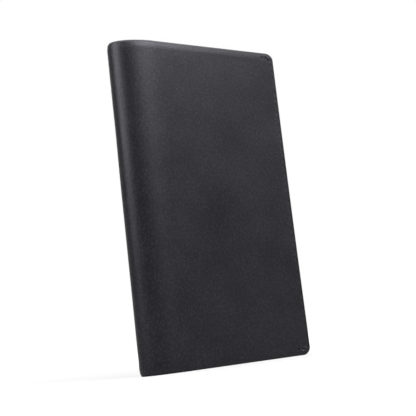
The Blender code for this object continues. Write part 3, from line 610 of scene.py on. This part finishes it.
def metal_material(name, colour, roughness):
    """Plated metal with fine rubbing marks."""
    material, tree, shader = start_material(name, Roughness=roughness, Metallic=1.0)
    places = source(tree, "TexCoord", "Object")
    cloud = source(tree, "TexNoise", "Fac", places, Scale=420.0, Detail=3.0)
    drawn_out = source(tree, "Mapping", "Vector", places, Scale=(9000.0, 9000.0, 900.0))
    marks = source(tree, "TexNoise", "Fac", drawn_out, Scale=1.0, Detail=2.0)
    darker = tuple(0.72 * value for value in colour)
    set_values(
        shader, Base_Color=ramp(cloud, (0.35, darker), (0.65, colour)),
        Roughness=maths("MULTIPLY_ADD", marks, 0.22, roughness - 0.11),
        Normal=bump(marks, 0.35, 0.00002),
    )
    return material


NICKEL = metal_material("nickel_plate", (0.54, 0.53, 0.51), 0.34)
PASTEBOARD = fibre_material(
    "pasteboard", (0.15, 0.145, 0.13), (0.25, 0.24, 0.21), (0.35, 0.65), 0.4,
    {"Scale": 700.0, "Detail": 4.0, "Roughness": 0.7}, Roughness=0.9, Specular_IOR_Level=0.2,
)
OUTER = leather_material(
    "outer_leather", (0.0026, 0.0026, 0.0033), (0.0160, 0.0159, 0.0192), 0.43, 0.000034, 0.80, 0.52
)
LINING_CLOTH = cloth_material("lining_cloth", (0.020, 0.020, 0.022), (0.042, 0.042, 0.046), 0.45, 0.00008)
# The inside's leather is the outer black leather painted lighter, standing in for the dim light inside the
# case
INNER = leather_material(
    "inner_leather_painted_lighter", (0.0110, 0.0108, 0.0130), (0.0230, 0.0225, 0.0265), 0.42, 0.000045, 0.6, 0.54
)
TAPE_CLOTH = cloth_material("zip_tape_cloth", (0.016, 0.016, 0.018), (0.038, 0.038, 0.042), 0.55, 0.00010)
THREAD_BLACK = thread_material(
    "black_thread", (0.0064, 0.0064, 0.0074), (0.0138, 0.0138, 0.0158), 0.54, 0.45
)
# Thread for the inside's stitches: black thread painted lighter, as painted light standing for the light
# the thread catches
THREAD_PAINTED_LIGHTER = thread_material(
    "inside_thread_painted_lighter", (0.046, 0.046, 0.050), (0.105, 0.105, 0.112), 0.66, 0.32
)


# Stitches: their ends dive in, their middles stand proud, and their two plies twist
STITCH_DIVE = 0.00045
STITCH_PROUD = 0.00012
STITCH_ARCH = 0.55
THREAD_END = 0.55
PLY_RELIEF = 0.13
PLY_TWIST = 5.5

# Kinds of stitch: material, thickness and slant, and how many sides and steps they are drawn with
SEAM_STITCH = (THREAD_BLACK, 0.00066, 0.05, 10, 12)
PANEL_STITCH = (THREAD_PAINTED_LIGHTER, 0.0005, 0.04, 7, 7)


def stitch_rows(name, rows, place_of, body, kind, nodes=()):
    """Stitches as one mesh, each from the start to the end of its row."""
    material, thread, slant, sides, steps = kind
    share = np.arange(steps + 1)[:, None] / steps
    angle = 2 * math.pi * np.arange(sides) / sides
    arch = np.sin(math.pi * share) ** STITCH_ARCH
    radius = thread / 2 * (THREAD_END + (1 - THREAD_END) * arch)
    radius = radius * (1 + PLY_RELIEF * np.cos(2 * (angle + PLY_TWIST * share)))
    depth = STITCH_DIVE - (STITCH_DIVE + STITCH_PROUD) * arch - radius * np.sin(angle)
    places, faces = [], []
    for number, (start, end) in enumerate(np.asarray(rows, float)):
        along = end - start
        length = np.hypot(*along)
        across = np.array([-along[1], along[0]]) / length
        aside = slant * (share - 0.5) * length + radius * np.cos(angle)
        spots = start + along * share[..., None] + across * aside[..., None]
        places.append(np.concatenate([spots, depth[..., None]], -1).reshape(-1, 3))
        faces += tube_faces(number * depth.size, steps + 1, sides)
    run, z, depth = np.concatenate(places).T
    dress(new_piece(name, place_of(run, depth, z), faces), material, body, nodes)


# The case: outer leather, seams and lining

LINING_TUCK = 0.0004
LINING_SINK = 0.00022
LINING_STEP = 0.006


def on_cover(way):
    """Places on a cover's face, a little pressed in with its seam."""
    def place(run, depth, z):
        return rolled(way * run, depth + seam_relief(run, z) * SEAM_SINK + SEAM_DROP, z)
    return place


def lining_sheet():
    """The lining of the whole case, unrolled, with its edge tucked under the turned leather."""
    inset = RIM_WIDTH - LINING_TUCK
    columns = case_columns(inset)
    rows = case_rows(inset, LINING_STEP)
    run, z = rounded_grid(columns, rows, CORNER_RADIUS - inset)
    a, b = run * 1000, z * 1000
    ripple = WAVE_DEPTH * (np.sin(a / 6.0 + b / 19.0) + np.sin(b / 11.0 - a / 15.0))
    thick = case_thickness(run)
    index = np.arange(run.size).reshape(run.shape)
    below = index + run.size
    flat = np.tile(np.stack([run.ravel(), z.ravel()], -1), (2, 1))
    depths = np.append(thick - LINING_SINK + ripple, thick - LINING)
    faces = grid_faces(index)[:, ::-1].tolist() + grid_faces(below).tolist()
    face_runs = [*np.repeat((columns[1:] + columns[:-1]) / 2, len(rows) - 1)] * 2
    picks = border_of(run.shape)
    over, under, border_runs = index[picks], below[picks], columns[picks[0]]
    faces += band_faces([over, under])
    face_runs += [*((border_runs + np.roll(border_runs, -1)) / 2)]
    return flat, depths, flat, faces, face_runs


split_sheet("leather", "cover_leather", OUTER, *case_sheet())
for name, way in (("front", 1.0), ("back", -1.0)):
    stitch_rows(
        f"{name}_seam_stitches", [seam_point(span) for span in SEAM_STITCHES], on_cover(way),
        f"{name}_cover", SEAM_STITCH, [f"{name}_seam_thread"],
    )
split_sheet("lining", "lining", LINING_CLOTH, *lining_sheet())


# The pockets inside are flat leather panels that lie along the covers

POCKET_REACH = (0.032, 0.125)
NOTCH_RADIUS = 0.012
NOTCH_SOFT = 0.0010
NOTCH_SPAN = 0.014
NOTCH_STEP = 0.001
BEND_REACH = 0.030
PANEL_ROUND = 0.0004
PANEL_CORNER = 0.0025
PANEL_STEP = 0.003
PANEL_SEAM = 0.0024
PANEL_STITCH_PITCH = 0.0036
PANEL_STITCH_LENGTH = 0.0026
PANEL_GROOVE_WIDTH = 0.00045
PANEL_GROOVE_DEPTH = 0.00018
MOUTH_CREASE = 0.0019
MOUTH_STITCH = 0.0012
SEAM_LINES = (0.0, 0.0009, 0.0017, 0.0024, 0.0031, 0.0046)
WINDOW_LINES = (0.0, 0.0009, 0.0014, 0.0018, 0.0022, 0.0028)
LINE_CLEAR = 0.0006


def place_inside(side):
    """World places inside one half from reach, depth and height."""
    def place(reach, depth, z):
        return np.stack([reach - WIDTH / 2, side * (HALF - depth), z], -1)
    return place


FRONT_HALF = (place_inside(-1), "front_cover")
BACK_HALF = (place_inside(1), "back_cover")


def edge_lines(start, end, step, extra):
    """Grid lines from edge to edge, close together where a seam runs and at the extra lines."""
    fixed = [start + value for value in SEAM_LINES] + [end - value for value in SEAM_LINES] + list(extra)
    free = graded((start + SEAM_LINES[-1], step), (end - SEAM_LINES[-1], None))[1:]
    free = [value for value in free if min(abs(value - other) for other in fixed) > LINE_CLEAR]
    return np.array(sorted(set(round(value, 7) for value in fixed + free)))


def notch_lines(middle):
    """Grid lines across a thumb notch."""
    return list(np.arange(middle - NOTCH_SPAN, middle + NOTCH_SPAN + NOTCH_STEP / 10, NOTCH_STEP))


def notch_cut(value, notch):
    """How far a thumb notch cuts in; it is given by its middle and how far out its circle lies."""
    cut = np.sqrt(np.clip(NOTCH_RADIUS ** 2 - (value - notch[0]) ** 2, 0, None)) - notch[1]
    return (cut + np.hypot(cut, NOTCH_SOFT)) / 2


def bend_share(distance):
    """Share of a mouth's notch by which a panel's grid is drawn in, at a distance from the mouth."""
    return smoothstep((BEND_REACH - distance) / BEND_REACH)


def outward_of(points):
    """Directions out of a closed line of flat places, longer at its sharp corners."""
    ahead = np.roll(points, -1, 0) - points
    ahead /= np.linalg.norm(ahead, axis=1)[:, None]
    normal = np.stack([ahead[:, 1], -ahead[:, 0]], -1)
    before = np.roll(normal, 1, 0)
    return (normal + before) / (1 + (normal * before).sum(1))[:, None]


def hole_loop(columns, rows, hole):
    """Grid places round a rectangular hole, clockwise, and the cells inside it."""
    first, last = (int(np.abs(columns - edge).argmin()) for edge in hole[0])
    low, high = (int(np.abs(rows - edge).argmin()) for edge in hole[1])
    across, up = border_of((last - first + 1, high - low + 1))
    return (first + across[::-1], low + up[::-1]), (slice(first, last), slice(low, high))


def level(run, up):
    """Neither relief nor bow."""
    return np.zeros(np.shape(run))


def make_panel(
    name, half, nodes, reach, height, depth, material=INNER, bend=None, hole=None,
    relief=level, bow=level, corner=PANEL_CORNER, rounding=PANEL_ROUND, step=PANEL_STEP, lines=((), ()),
    seams=(),
):
    """A flat panel with soft edges, put in place in a half, and the stitches of its seams."""
    place, body = half
    columns = edge_lines(*reach, step, lines[0])
    rows = edge_lines(*height, step, lines[1])
    run, up = rounded_grid(columns, rows, corner)
    if bend:
        run, up = bend(run, up)
    loops = [border_of(run.shape)]
    cells = np.ones((len(columns) - 1, len(rows) - 1), bool)
    if hole:
        loop, hole_cells = hole_loop(columns, rows, hole)
        loops.append(loop)
        cells[hole_cells] = False

    def face_depth(run, up):
        return depth[1] + bow(run, up) - relief(run, up)

    def back_depth(run, up):
        return depth[0] + bow(run, up)

    flat = np.stack([run, up], -1)
    edges = []
    for picks in loops:
        outward = outward_of(flat[picks])
        flat[picks] -= outward * rounding
        edges.append((picks, outward))
    index = np.arange(run.size).reshape(run.shape)
    under = index + run.size
    both = flat.reshape(-1, 2)
    places, maps, depths = [both, both], [both, both], [face_depth(*both.T), back_depth(*both.T)]
    cells = cells.ravel()
    faces = grid_faces(index)[cells].tolist() + grid_faces(under)[cells, ::-1].tolist()
    total = 2 * run.size
    for picks, outward in edges:
        near = flat[picks]
        face, back = face_depth(*near.T), back_depth(*near.T)
        previous = index[picks]
        for number, angle in enumerate(np.radians((30, 60, 90, 90, 60, 30))):
            drop = rounding * (1 - math.cos(angle))
            places.append(near + outward * rounding * math.sin(angle))
            maps.append(near + outward * rounding * 0.55 * (number + 1))
            depths.append(face - drop if number < 3 else back + drop)
            ring = total + np.arange(len(near))
            faces += ring_faces(previous, ring)
            previous = ring
            total += len(near)
        faces += ring_faces(previous, under[picks])
    faces, spots, depths, maps = kept_points(faces, *map(np.concatenate, (places, depths, maps)))
    item = new_piece(name, place(spots[:, 0], depths, spots[:, 1]), faces, maps)
    dress(item, material, body, nodes)
    if seams:
        panel_stitches(half, face_depth, *seams)
    return item


def panel_stitches(half, face_depth, name, *lines):
    """Stitches along straight lines on a panel."""
    place, body = half
    rows = []
    for points in map(np.array, lines):
        for start, end in zip(points, points[1:]):
            distance = math.dist(start, end)
            count = max(1, round(distance / PANEL_STITCH_PITCH))
            way = (end - start) / distance
            for number in range(count):
                begin = start + way * ((number + 0.5) * distance / count - PANEL_STITCH_LENGTH / 2)
                rows.append((begin, begin + way * PANEL_STITCH_LENGTH))

    def on_panel(run, depth, z):
        return place(run, face_depth(run, z) - depth, z)

    stitch_rows(name, rows, on_panel, body, PANEL_STITCH)


def groove(distance, place, deep=PANEL_GROOVE_DEPTH):
    """A pressed line at a distance from an edge."""
    return deep * bell(distance - place, PANEL_GROOVE_WIDTH)


def pocket_line(start, turn):
    """A sewn line along one side of a pocket, across it and back along the other side."""
    left, right = POCKET_REACH[0] + PANEL_SEAM, POCKET_REACH[1] - PANEL_SEAM
    return [(left, start), (left, turn), (right, turn), (right, start)]


def frame_line(reach, height, inset):
    """A sewn line all round, inside a reach and a height."""
    (left, right), (low, high) = ((span[0] + inset, span[1] - inset) for span in (reach, height))
    return [(left, low), (right, low), (right, high), (left, high), (left, low)]


# The passport pocket, with a thumb notch in its mouth

SLIP_DEPTH = (0.0088, 0.0100)
SLIP_BOW = 0.0004
SLIP_DROP = 0.00005
PASSPORT_HEIGHT = (0.006, 0.118)
PASSPORT_NOTCH = (sum(POCKET_REACH) / 2, NOTCH_RADIUS / 3)


def passport_bend(run, up):
    """Draws the panel's grid down to the mouth."""
    return run, up - notch_cut(run, PASSPORT_NOTCH) * bend_share(PASSPORT_HEIGHT[1] - up)


def slip_relief(run, up):
    """Sewn line along the closed sides of the passport pocket and the crease along its mouth."""
    closed = np.minimum(inside(run, POCKET_REACH), up - PASSPORT_HEIGHT[0])
    below = PASSPORT_HEIGHT[1] - notch_cut(run, PASSPORT_NOTCH) - up
    return np.maximum(groove(closed, PANEL_SEAM), groove(below, MOUTH_CREASE))


def slip_bow(run, up):
    """The panel stands a little proud in the middle, more at its mouth."""
    across = np.sin(math.pi * share_of(run, POCKET_REACH))
    return SLIP_BOW * across * np.sin(2.2 * share_of(up, PASSPORT_HEIGHT)) - SLIP_DROP


passport_seam = pocket_line(PASSPORT_HEIGHT[1] - MOUTH_STITCH, PASSPORT_HEIGHT[0] + PANEL_SEAM)
make_panel(
    "passport_pocket", FRONT_HALF, ["passport_pocket_panel"], POCKET_REACH, PASSPORT_HEIGHT, SLIP_DEPTH,
    bend=passport_bend, relief=slip_relief, bow=slip_bow, lines=(notch_lines(PASSPORT_NOTCH[0]), ()),
    seams=("passport_stitches", passport_seam),
)

# Card slots: leaves that stand one before the other, each with a creased mouth

CARD_LEAVES = (
    ("card_pocket_base", (0.128, 0.212), (0.0045, 0.0053)),
    ("card_slot_1", (0.150, 0.206), (0.0056, 0.0064)),
    ("card_slot_2", (0.139, 0.195), (0.0067, 0.0075)),
    ("card_slot_3", (0.128, 0.184), (0.0078, 0.0086)),
)
LEAF_BOW = 0.00012
LEAF_GROOVE = 0.00012
LEAF_CREASE = 0.00016
LEAF_TOP = 0.0010
BASE_LINE = (0.0052, 0.0014)
SLOT_LINE = 0.0092


def leaf_shape(height, front_leaf):
    """Sewn and creased lines of a leaf, and how it stands proud towards the middle of its mouth."""
    def relief(run, up):
        ends = inside(run, POCKET_REACH)
        if front_leaf:
            ends = np.minimum(ends, up - height[0])
        crease = groove(height[1] - up, MOUTH_CREASE, LEAF_CREASE)
        return np.maximum(groove(ends, PANEL_SEAM, LEAF_GROOVE), crease)

    def bow(run, up):
        return LEAF_BOW * np.sin(math.pi * share_of(run, POCKET_REACH)) * share_of(up, height)

    return relief, bow


for number, (node, height, depth) in enumerate(CARD_LEAVES):
    front_leaf = number == len(CARD_LEAVES) - 1
    relief, bow = leaf_shape(height, front_leaf)
    top = height[1] - LEAF_TOP
    if number == 0:
        lines = [pocket_line(*(top - drop for drop in BASE_LINE))]
    elif front_leaf:
        lines = [pocket_line(top, height[0] + PANEL_SEAM)]
    else:
        sides = pocket_line(top, top - SLOT_LINE)
        lines = [sides[:2], sides[:1:-1]]
    make_panel(
        f"{node}_leather", FRONT_HALF, [node], POCKET_REACH, height, depth, relief=relief, bow=bow,
        corner=0.0018, rounding=0.0003, seams=(f"{node}_stitches", *lines),
    )

# The ticket pocket fills the back half, with its mouth at the spine

TICKET_HEIGHT = (0.006, 0.216)
TICKET_NOTCH = (HEIGHT / 2, NOTCH_RADIUS / 2)


def ticket_bend(run, up):
    """Draws the panel's grid in to the mouth."""
    return run + notch_cut(up, TICKET_NOTCH) * bend_share(run - POCKET_REACH[0]), up


def ticket_relief(run, up):
    """Sewn line along the closed sides of the ticket pocket and the crease along its mouth."""
    closed = np.minimum(POCKET_REACH[1] - run, inside(up, TICKET_HEIGHT))
    beyond = run - POCKET_REACH[0] - notch_cut(up, TICKET_NOTCH)
    return np.maximum(groove(closed, PANEL_SEAM), groove(beyond, MOUTH_CREASE))


start, right = POCKET_REACH[0] + MOUTH_STITCH, POCKET_REACH[1] - PANEL_SEAM
foot, top = TICKET_HEIGHT[0] + PANEL_SEAM, TICKET_HEIGHT[1] - PANEL_SEAM
make_panel(
    "ticket_pocket", BACK_HALF, ["ticket_pocket_panel"], POCKET_REACH, TICKET_HEIGHT, SLIP_DEPTH,
    bend=ticket_bend, relief=ticket_relief, lines=((), notch_lines(TICKET_NOTCH[0])),
    seams=("ticket_stitches", [(start, foot), (right, foot), (right, top), (start, top)]),
)

# The zip pocket lies on the ticket pocket

ZIP_REACH = (0.042, 0.125)
ZIP_HEIGHT = (0.014, 0.208)
ZIP_DEPTH = (0.0122, 0.0134)
ZIP_CENTRE = 0.054
WINDOW = ((0.050, 0.058), (0.020, 0.202))
WINDOW_SEAM = 0.0018


def zip_relief(run, up):
    """Sewn lines round the zip pocket and round its window."""
    around = np.hypot(*(np.maximum(-inside(*pair), 0) for pair in zip((run, up), WINDOW)))
    closed = np.minimum(inside(run, ZIP_REACH), inside(up, ZIP_HEIGHT))
    return np.maximum(groove(closed, PANEL_SEAM), groove(around, WINDOW_SEAM)) * (around > 0)


zip_seams = [frame_line(ZIP_REACH, ZIP_HEIGHT, PANEL_SEAM), frame_line(*WINDOW, -WINDOW_SEAM)]
make_panel(
    "zip_pocket", BACK_HALF, ["zip_pocket_panel"], ZIP_REACH, ZIP_HEIGHT, ZIP_DEPTH, hole=WINDOW,
    relief=zip_relief, seams=("zip_pocket_stitches", *zip_seams),
    lines=[[edge for near in WINDOW_LINES for edge in (low - near, high + near)] for low, high in WINDOW],
)

# Cloth gussets close the sides of the pockets, folded in along their middle

GUSSET_FOLD = 0.0006
GUSSET_CLOTH = 0.00045
GUSSET_STEP = 0.004
GUSSET_INSET = 0.0001
GUSSET_START = 0.00002


def make_gusset(node, body, wall):
    """A folded strip of lining cloth where a gusset's node is."""
    low, high = (np.array(corner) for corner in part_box(node))
    thin, long = (2, 0) if wall in ("bottom", "top") else (0, 2)
    way, outer = (1.0, low[thin]) if wall in ("bottom", "spine") else (-1.0, high[thin])
    count = max(2, int((high[long] - low[long]) / GUSSET_STEP))
    station = np.linspace(low[long], high[long], count)[:, None]
    share = np.linspace(0.0, 1.0, 9)
    fold = GUSSET_START + GUSSET_FOLD * np.sin(math.pi * share) ** 1.5
    share = np.append(share, share[::-1])
    inset = np.append(fold, GUSSET_CLOTH + fold[::-1])
    ripple = 0.00005 * np.sin(station * 900.0) + 0.00004 * np.sin(station * 340.0 + 1.0)
    places = np.empty((count, len(share), 3))
    places[..., long] = station
    places[..., thin] = outer + way * (inset + GUSSET_INSET + ripple * np.sin(math.pi * share))
    places[..., 1] = low[1] + (high[1] - low[1]) * share
    flat = np.stack([places[..., long], places[..., 1] + 0.001 * (inset > GUSSET_FOLD)], -1)
    faces = tube_faces(0, count, len(share))
    item = new_piece(f"{node}_cloth", places.reshape(-1, 3), faces, flat.reshape(-1, 2))
    dress(item, LINING_CLOTH, body, [node])


for pocket, body, walls in (
    ("passport", "front_cover", ("bottom", "fore", "spine")),
    ("ticket", "back_cover", ("bottom", "top", "fore")),
    ("zip", "back_cover", ("bottom", "top", "fore", "spine")),
):
    for wall in walls:
        make_gusset(f"{pocket}_gusset_{wall}", body, wall)

# The zip: woven tapes, cast teeth that lock into each other, and stops

TAPE_DEPTH = (0.0113, 0.0119)
TAPE_HEIGHT = (0.0155, 0.2065)
TAPE_EDGES = (0.0008, 0.0080)
TAPE_CORD = 0.0012
TAPE_CORD_FADE = 0.0006
TAPE_CORD_RISE = 0.00012
TOOTH_DEPTH = (0.0122, 0.0132)
TOOTH_FOOT = 0.0226
TOOTH_PITCH = 0.0028
TOOTH_HALF = 0.00062
TOOTH_COUNT = 63
TOOTH_ROUND = 0.00014
TOOTH_ROOT = 0.0013
PARTED_ROOT = 0.0021
PARTED_FROM = 0.1930
TOOTH_OUTLINE = (
    (0.0, TOOTH_HALF), (0.00085, TOOTH_HALF), (0.00105, 0.00046), (0.00125, 0.00046),
    (0.00140, 0.00056), (0.00152, 0.00050), (0.00162, 0.00030), (0.00165, 0.0),
)


def tape_relief(run, up):
    """A tape is thickest along its inner edge."""
    inner = np.abs(run - ZIP_CENTRE) - TAPE_EDGES[0]
    return TAPE_CORD_RISE * smoothstep((inner - TAPE_CORD) / TAPE_CORD_FADE)


def teeth_row(name, way, first):
    """One row of teeth, from their roots on the tape towards the other row."""
    outline = np.array([*TOOTH_OUTLINE, *((u, -w) for u, w in TOOTH_OUTLINE[-2::-1])])
    outward = -outward_of(outline)
    low, high = TOOTH_DEPTH
    rings = ((low, TOOTH_ROUND), (low + TOOTH_ROUND, 0.0), (high - TOOTH_ROUND, 0.0), (high, TOOTH_ROUND))
    places, faces = [], []
    for number in range(TOOTH_COUNT):
        z = first + number * TOOTH_PITCH
        root = PARTED_ROOT if z > PARTED_FROM else TOOTH_ROOT
        faces += tube_faces(len(places), len(rings), len(outline))
        for depth, inset in rings:
            for u, w in outline - outward * inset:
                places.append((ZIP_CENTRE + way * (root - u), depth, z + w))
    row = new_piece(name, BACK_HALF[0](*np.array(places).T), faces)
    row.data.set_sharp_from_angle(angle=math.radians(50))
    return row


for name, way, first in (("spine", -1, TOOTH_FOOT), ("fore", 1, TOOTH_FOOT + TOOTH_PITCH / 2)):
    tape_reach = sorted(ZIP_CENTRE + way * edge for edge in TAPE_EDGES)
    tape = make_panel(
        f"zip_tape_{name}_cloth", BACK_HALF, [f"zip_tape_{name}"], tape_reach, TAPE_HEIGHT, TAPE_DEPTH,
        material=TAPE_CLOTH, relief=tape_relief, corner=0.0007, rounding=0.0002,
    )
    row = teeth_row(f"zip_teeth_{name}_row", way, first + TOOTH_HALF)
    dress(row, NICKEL, "back_cover", [f"zip_teeth_{name}"])
    # The tape and its teeth each get a mesh of their own
    for item in (tape, row):
        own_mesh(item)

# The pen loop: a strip of leather rolled into a ring, with its foot sewn to the lining

LOOP_TURN = math.acos(1 - 0.020 / NOSE_DEPTH)
LOOP_RUN = -float(np.interp(LOOP_TURN, TURN_TABLE, RUN_TABLE))
LOOP_SPAN = (0.133, 0.167)
LOOP_OUTER = 0.0060
LOOP_BORE = 0.0048
LOOP_FOOT_DEPTH = (0.0024, 0.0036)
LOOP_FOOT_HALF = 0.0040
LOOP_SEAM = 0.0030
LOOP_GROOVE = 0.0021
LOOP_TURNS = 56
LOOP_RINGS = 17


def loop_ring():
    """The ring of the pen loop, with its rims rounded and its leather a little uneven."""
    centre = rolled(LOOP_RUN, LOOP_FOOT_DEPTH[0] + LOOP_OUTER, 0.0)
    low, high = LOOP_SPAN
    rim = (LOOP_OUTER - LOOP_BORE) / 2
    middle = LOOP_OUTER - rim
    length = np.linspace(low + rim, high - rim, LOOP_RINGS)
    turn = np.radians((30, 60, 90, 120, 150))
    aside = rim * np.append(np.ones(LOOP_RINGS), np.cos(turn))
    radius = np.append(middle + aside, middle - aside)
    z = np.r_[length, high - rim + rim * np.sin(turn), length[::-1], low + rim - rim * np.sin(turn)]
    travelled = np.append(0.0, np.cumsum(np.hypot(np.diff(radius), np.diff(z))))
    angle = 2 * math.pi * np.arange(LOOP_TURNS)[:, None] / LOOP_TURNS
    reach = radius + 0.00008 * np.sin(2 * angle + z * 90.0) - 0.00006 * np.cos(3 * angle)
    reach -= 0.00010 * bell(inside(z, LOOP_SPAN) - LOOP_GROOVE, 0.0004) * (radius > middle)
    places = np.broadcast_arrays(centre[0] + reach * np.cos(angle), centre[1] + reach * np.sin(angle), z)
    flat = np.broadcast_arrays(angle * LOOP_OUTER, travelled)
    index = np.arange(reach.size).reshape(reach.shape)
    faces = grid_faces(np.pad(index, (0, 1), "wrap")).tolist()
    places, flat = (np.stack(parts, -1).reshape(reach.size, -1) for parts in (places, flat))
    return new_piece("pen_loop_ring", places, faces, flat)


dress(loop_ring(), INNER, "back_cover", ["pen_loop"])
foot, top = LOOP_SPAN[0] + MOUTH_STITCH, LOOP_SPAN[1] - MOUTH_STITCH
loop_seams = [[(run, foot), (run, top)] for run in (LOOP_RUN - LOOP_SEAM, LOOP_RUN + LOOP_SEAM)]
make_panel(
    "pen_loop_foot", (rolled, "back_cover"), (), (LOOP_RUN - LOOP_FOOT_HALF, LOOP_RUN + LOOP_FOOT_HALF),
    LOOP_SPAN, LOOP_FOOT_DEPTH, corner=0.0010, step=0.0012, seams=("pen_loop_stitches", *loop_seams),
)

# Parts whose solids already have the right shape
for material, nodes in (
    (NICKEL, ("zip_slider", "zip_puller", "zip_top_stop_spine", "zip_top_stop_fore", "zip_bottom_stop")),
    (PASTEBOARD, ("front_cover_board", "back_cover_board")),
):
    for node in nodes:
        for slot in bpy.data.objects[node].material_slots:
            slot.material = material


# Camera, floor and lights

CAMERA_PLACE = (-0.33406, -0.48218, 0.02109)
VIEW_AZIMUTH = math.radians(34.80)
VIEW_PITCH = math.radians(8.46)
VIEW_ROLL = math.radians(-6.62)
FOCAL_PIXELS = 852.5
IMAGE_PIXELS = 416.0
SENSOR = 36.0
FLOOR_RINGS = (0.15, 0.3, 0.6, 1.2, 2.5, 6.0, 14.0)
FLOOR_SIDES = 48
FLOOR_GREY = (0.38, 0.38, 0.38, 1.0)
MIRRORED_FLOOR = 0.14
ROOM_LIGHT = 0.12
ROOM_SIDE = (0.34, 0.72, 0.60)
# Soft rectangular lamps: name, place, point that it faces, width and height, watts
LAMPS = (
    ("spine_box", (-0.85, -0.22, 0.62), (-0.05, 0.0, 0.13), (0.64, 0.6), 6.3),
    ("front_box", (0.24, -0.82, 0.90), (0.0, 0.0, 0.18), (0.75, 0.45), 10.2),
    ("front_strip", (0.12, -0.98, 0.38), (-0.02, 0.0, 0.10), (0.14, 0.6), 0.55),
    ("fore_box", (0.92, -0.40, 0.40), (0.04, 0.0, 0.13), (0.25, 0.45), 1.35),
    ("back_box", (0.42, 0.95, 0.62), (0.0, 0.0, 0.10), (0.8, 0.6), 4.5),
    ("top_box", (0.05, 0.10, 0.95), (0.0, 0.0, 0.1), (0.9, 0.7), 5.5),
)


def make_camera():
    """The camera where the outline in the photograph puts it."""
    data = bpy.data.cameras.new("camera")
    data.sensor_width = SENSOR
    data.lens = FOCAL_PIXELS / IMAGE_PIXELS * SENSOR
    data.clip_start, data.clip_end = 0.01, 50.0
    camera = in_scene("camera", data)
    camera.matrix_world = Matrix.Translation(CAMERA_PLACE)
    for angle, axis in ((-VIEW_AZIMUTH, "Z"), (math.pi / 2 + VIEW_PITCH, "X"), (VIEW_ROLL, "Z")):
        camera.matrix_world @= Matrix.Rotation(angle, 4, axis)
    bpy.context.scene.camera = camera


def ray_kinds(tree):
    """Whether a ray comes from the camera, and whether a mirroring or clear surface sent it on."""
    camera = source(tree, "LightPath", "Is Camera Ray")
    return camera, maths("MAXIMUM", (camera[0], "Is Glossy Ray"), (camera[0], "Is Transmission Ray"))


def smooth_range(value, span, results):
    """A smooth rise over a span of values, from one result to another."""
    return source(
        value[0].id_data, "MapRange", "Result", value, interpolation_type="SMOOTHSTEP",
        From_Min=span[0], From_Max=span[1], To_Min=results[0], To_Max=results[1],
    )


def make_floor():
    """A pale floor that keeps the soft shadow and runs out to white."""
    angles = 2 * math.pi * np.arange(FLOOR_SIDES) / FLOOR_SIDES
    places = [(0.0, 0.0, 0.0)]
    places += [(radius * math.cos(a), radius * math.sin(a), 0.0) for radius in FLOOR_RINGS for a in angles]
    index = np.arange(1, len(places)).reshape(-1, FLOOR_SIDES)
    faces = [[0, here, there] for here, there in zip(index[0], np.roll(index[0], -1))]
    for inner, outer in zip(index, index[1:]):
        faces += ring_faces(inner, outer)
    floor = new_piece("floor", places, faces, closed=False)
    material, tree, shader = start_material(
        "pale_floor", Base_Color=FLOOR_GREY, Roughness=0.9, Specular_IOR_Level=0.1
    )
    distance = source(tree, "VectorMath", "Value", source(tree, "TexCoord", "Object"), operation="LENGTH")
    far = smooth_range(distance, (0.15, 0.6), (0.52, 1.0))
    camera, mirrored = ray_kinds(tree)
    seen = maths("MAXIMUM", camera, maths("MULTIPLY", mirrored, MIRRORED_FLOOR))
    glow = source(tree, "Emission", "Emission", Strength=maths("MULTIPLY", far, seen))
    both = source(tree, "AddShader", "Shader", (shader, "BSDF"), glow)
    set_values(tree.nodes["Material Output"], Surface=both)
    floor.data.materials.append(material)


def make_world():
    """White to the eye, a room that brightens to one side in reflections, and a soft grey as light."""
    world = bpy.data.worlds.new("studio")
    bpy.context.scene.world = world
    world.use_nodes = True
    tree = world.node_tree
    camera, mirrored = ray_kinds(tree)
    toward = source(
        tree, "VectorMath", "Value", source(tree, "TexCoord", "Generated"), Vector(ROOM_SIDE).normalized(),
        operation="DOT_PRODUCT",
    )
    room = smooth_range(toward, (-0.5, 0.9), (0.008, 0.6))
    lit = source(tree, "Mix", "Result", data_type="FLOAT", Factor=mirrored, A=ROOM_LIGHT, B=room)
    seen = source(tree, "Mix", "Result", data_type="FLOAT", Factor=camera, A=lit, B=1.0)
    set_values(tree.nodes["Background"], Color=(1.0, 1.0, 1.0, 1.0), Strength=seen)


make_camera()
make_floor()
make_world()
for name, place, target, size, watts in LAMPS:
    data = bpy.data.lights.new(name, "AREA")
    data.shape = "RECTANGLE"
    data.size, data.size_y = size
    data.energy = watts
    lamp = in_scene(name, data)
    lamp.location = place
    lamp.rotation_euler = (Vector(target) - Vector(place)).to_track_quat("-Z", "Y").to_euler()

bpy.context.scene.view_settings.view_transform = "Standard"
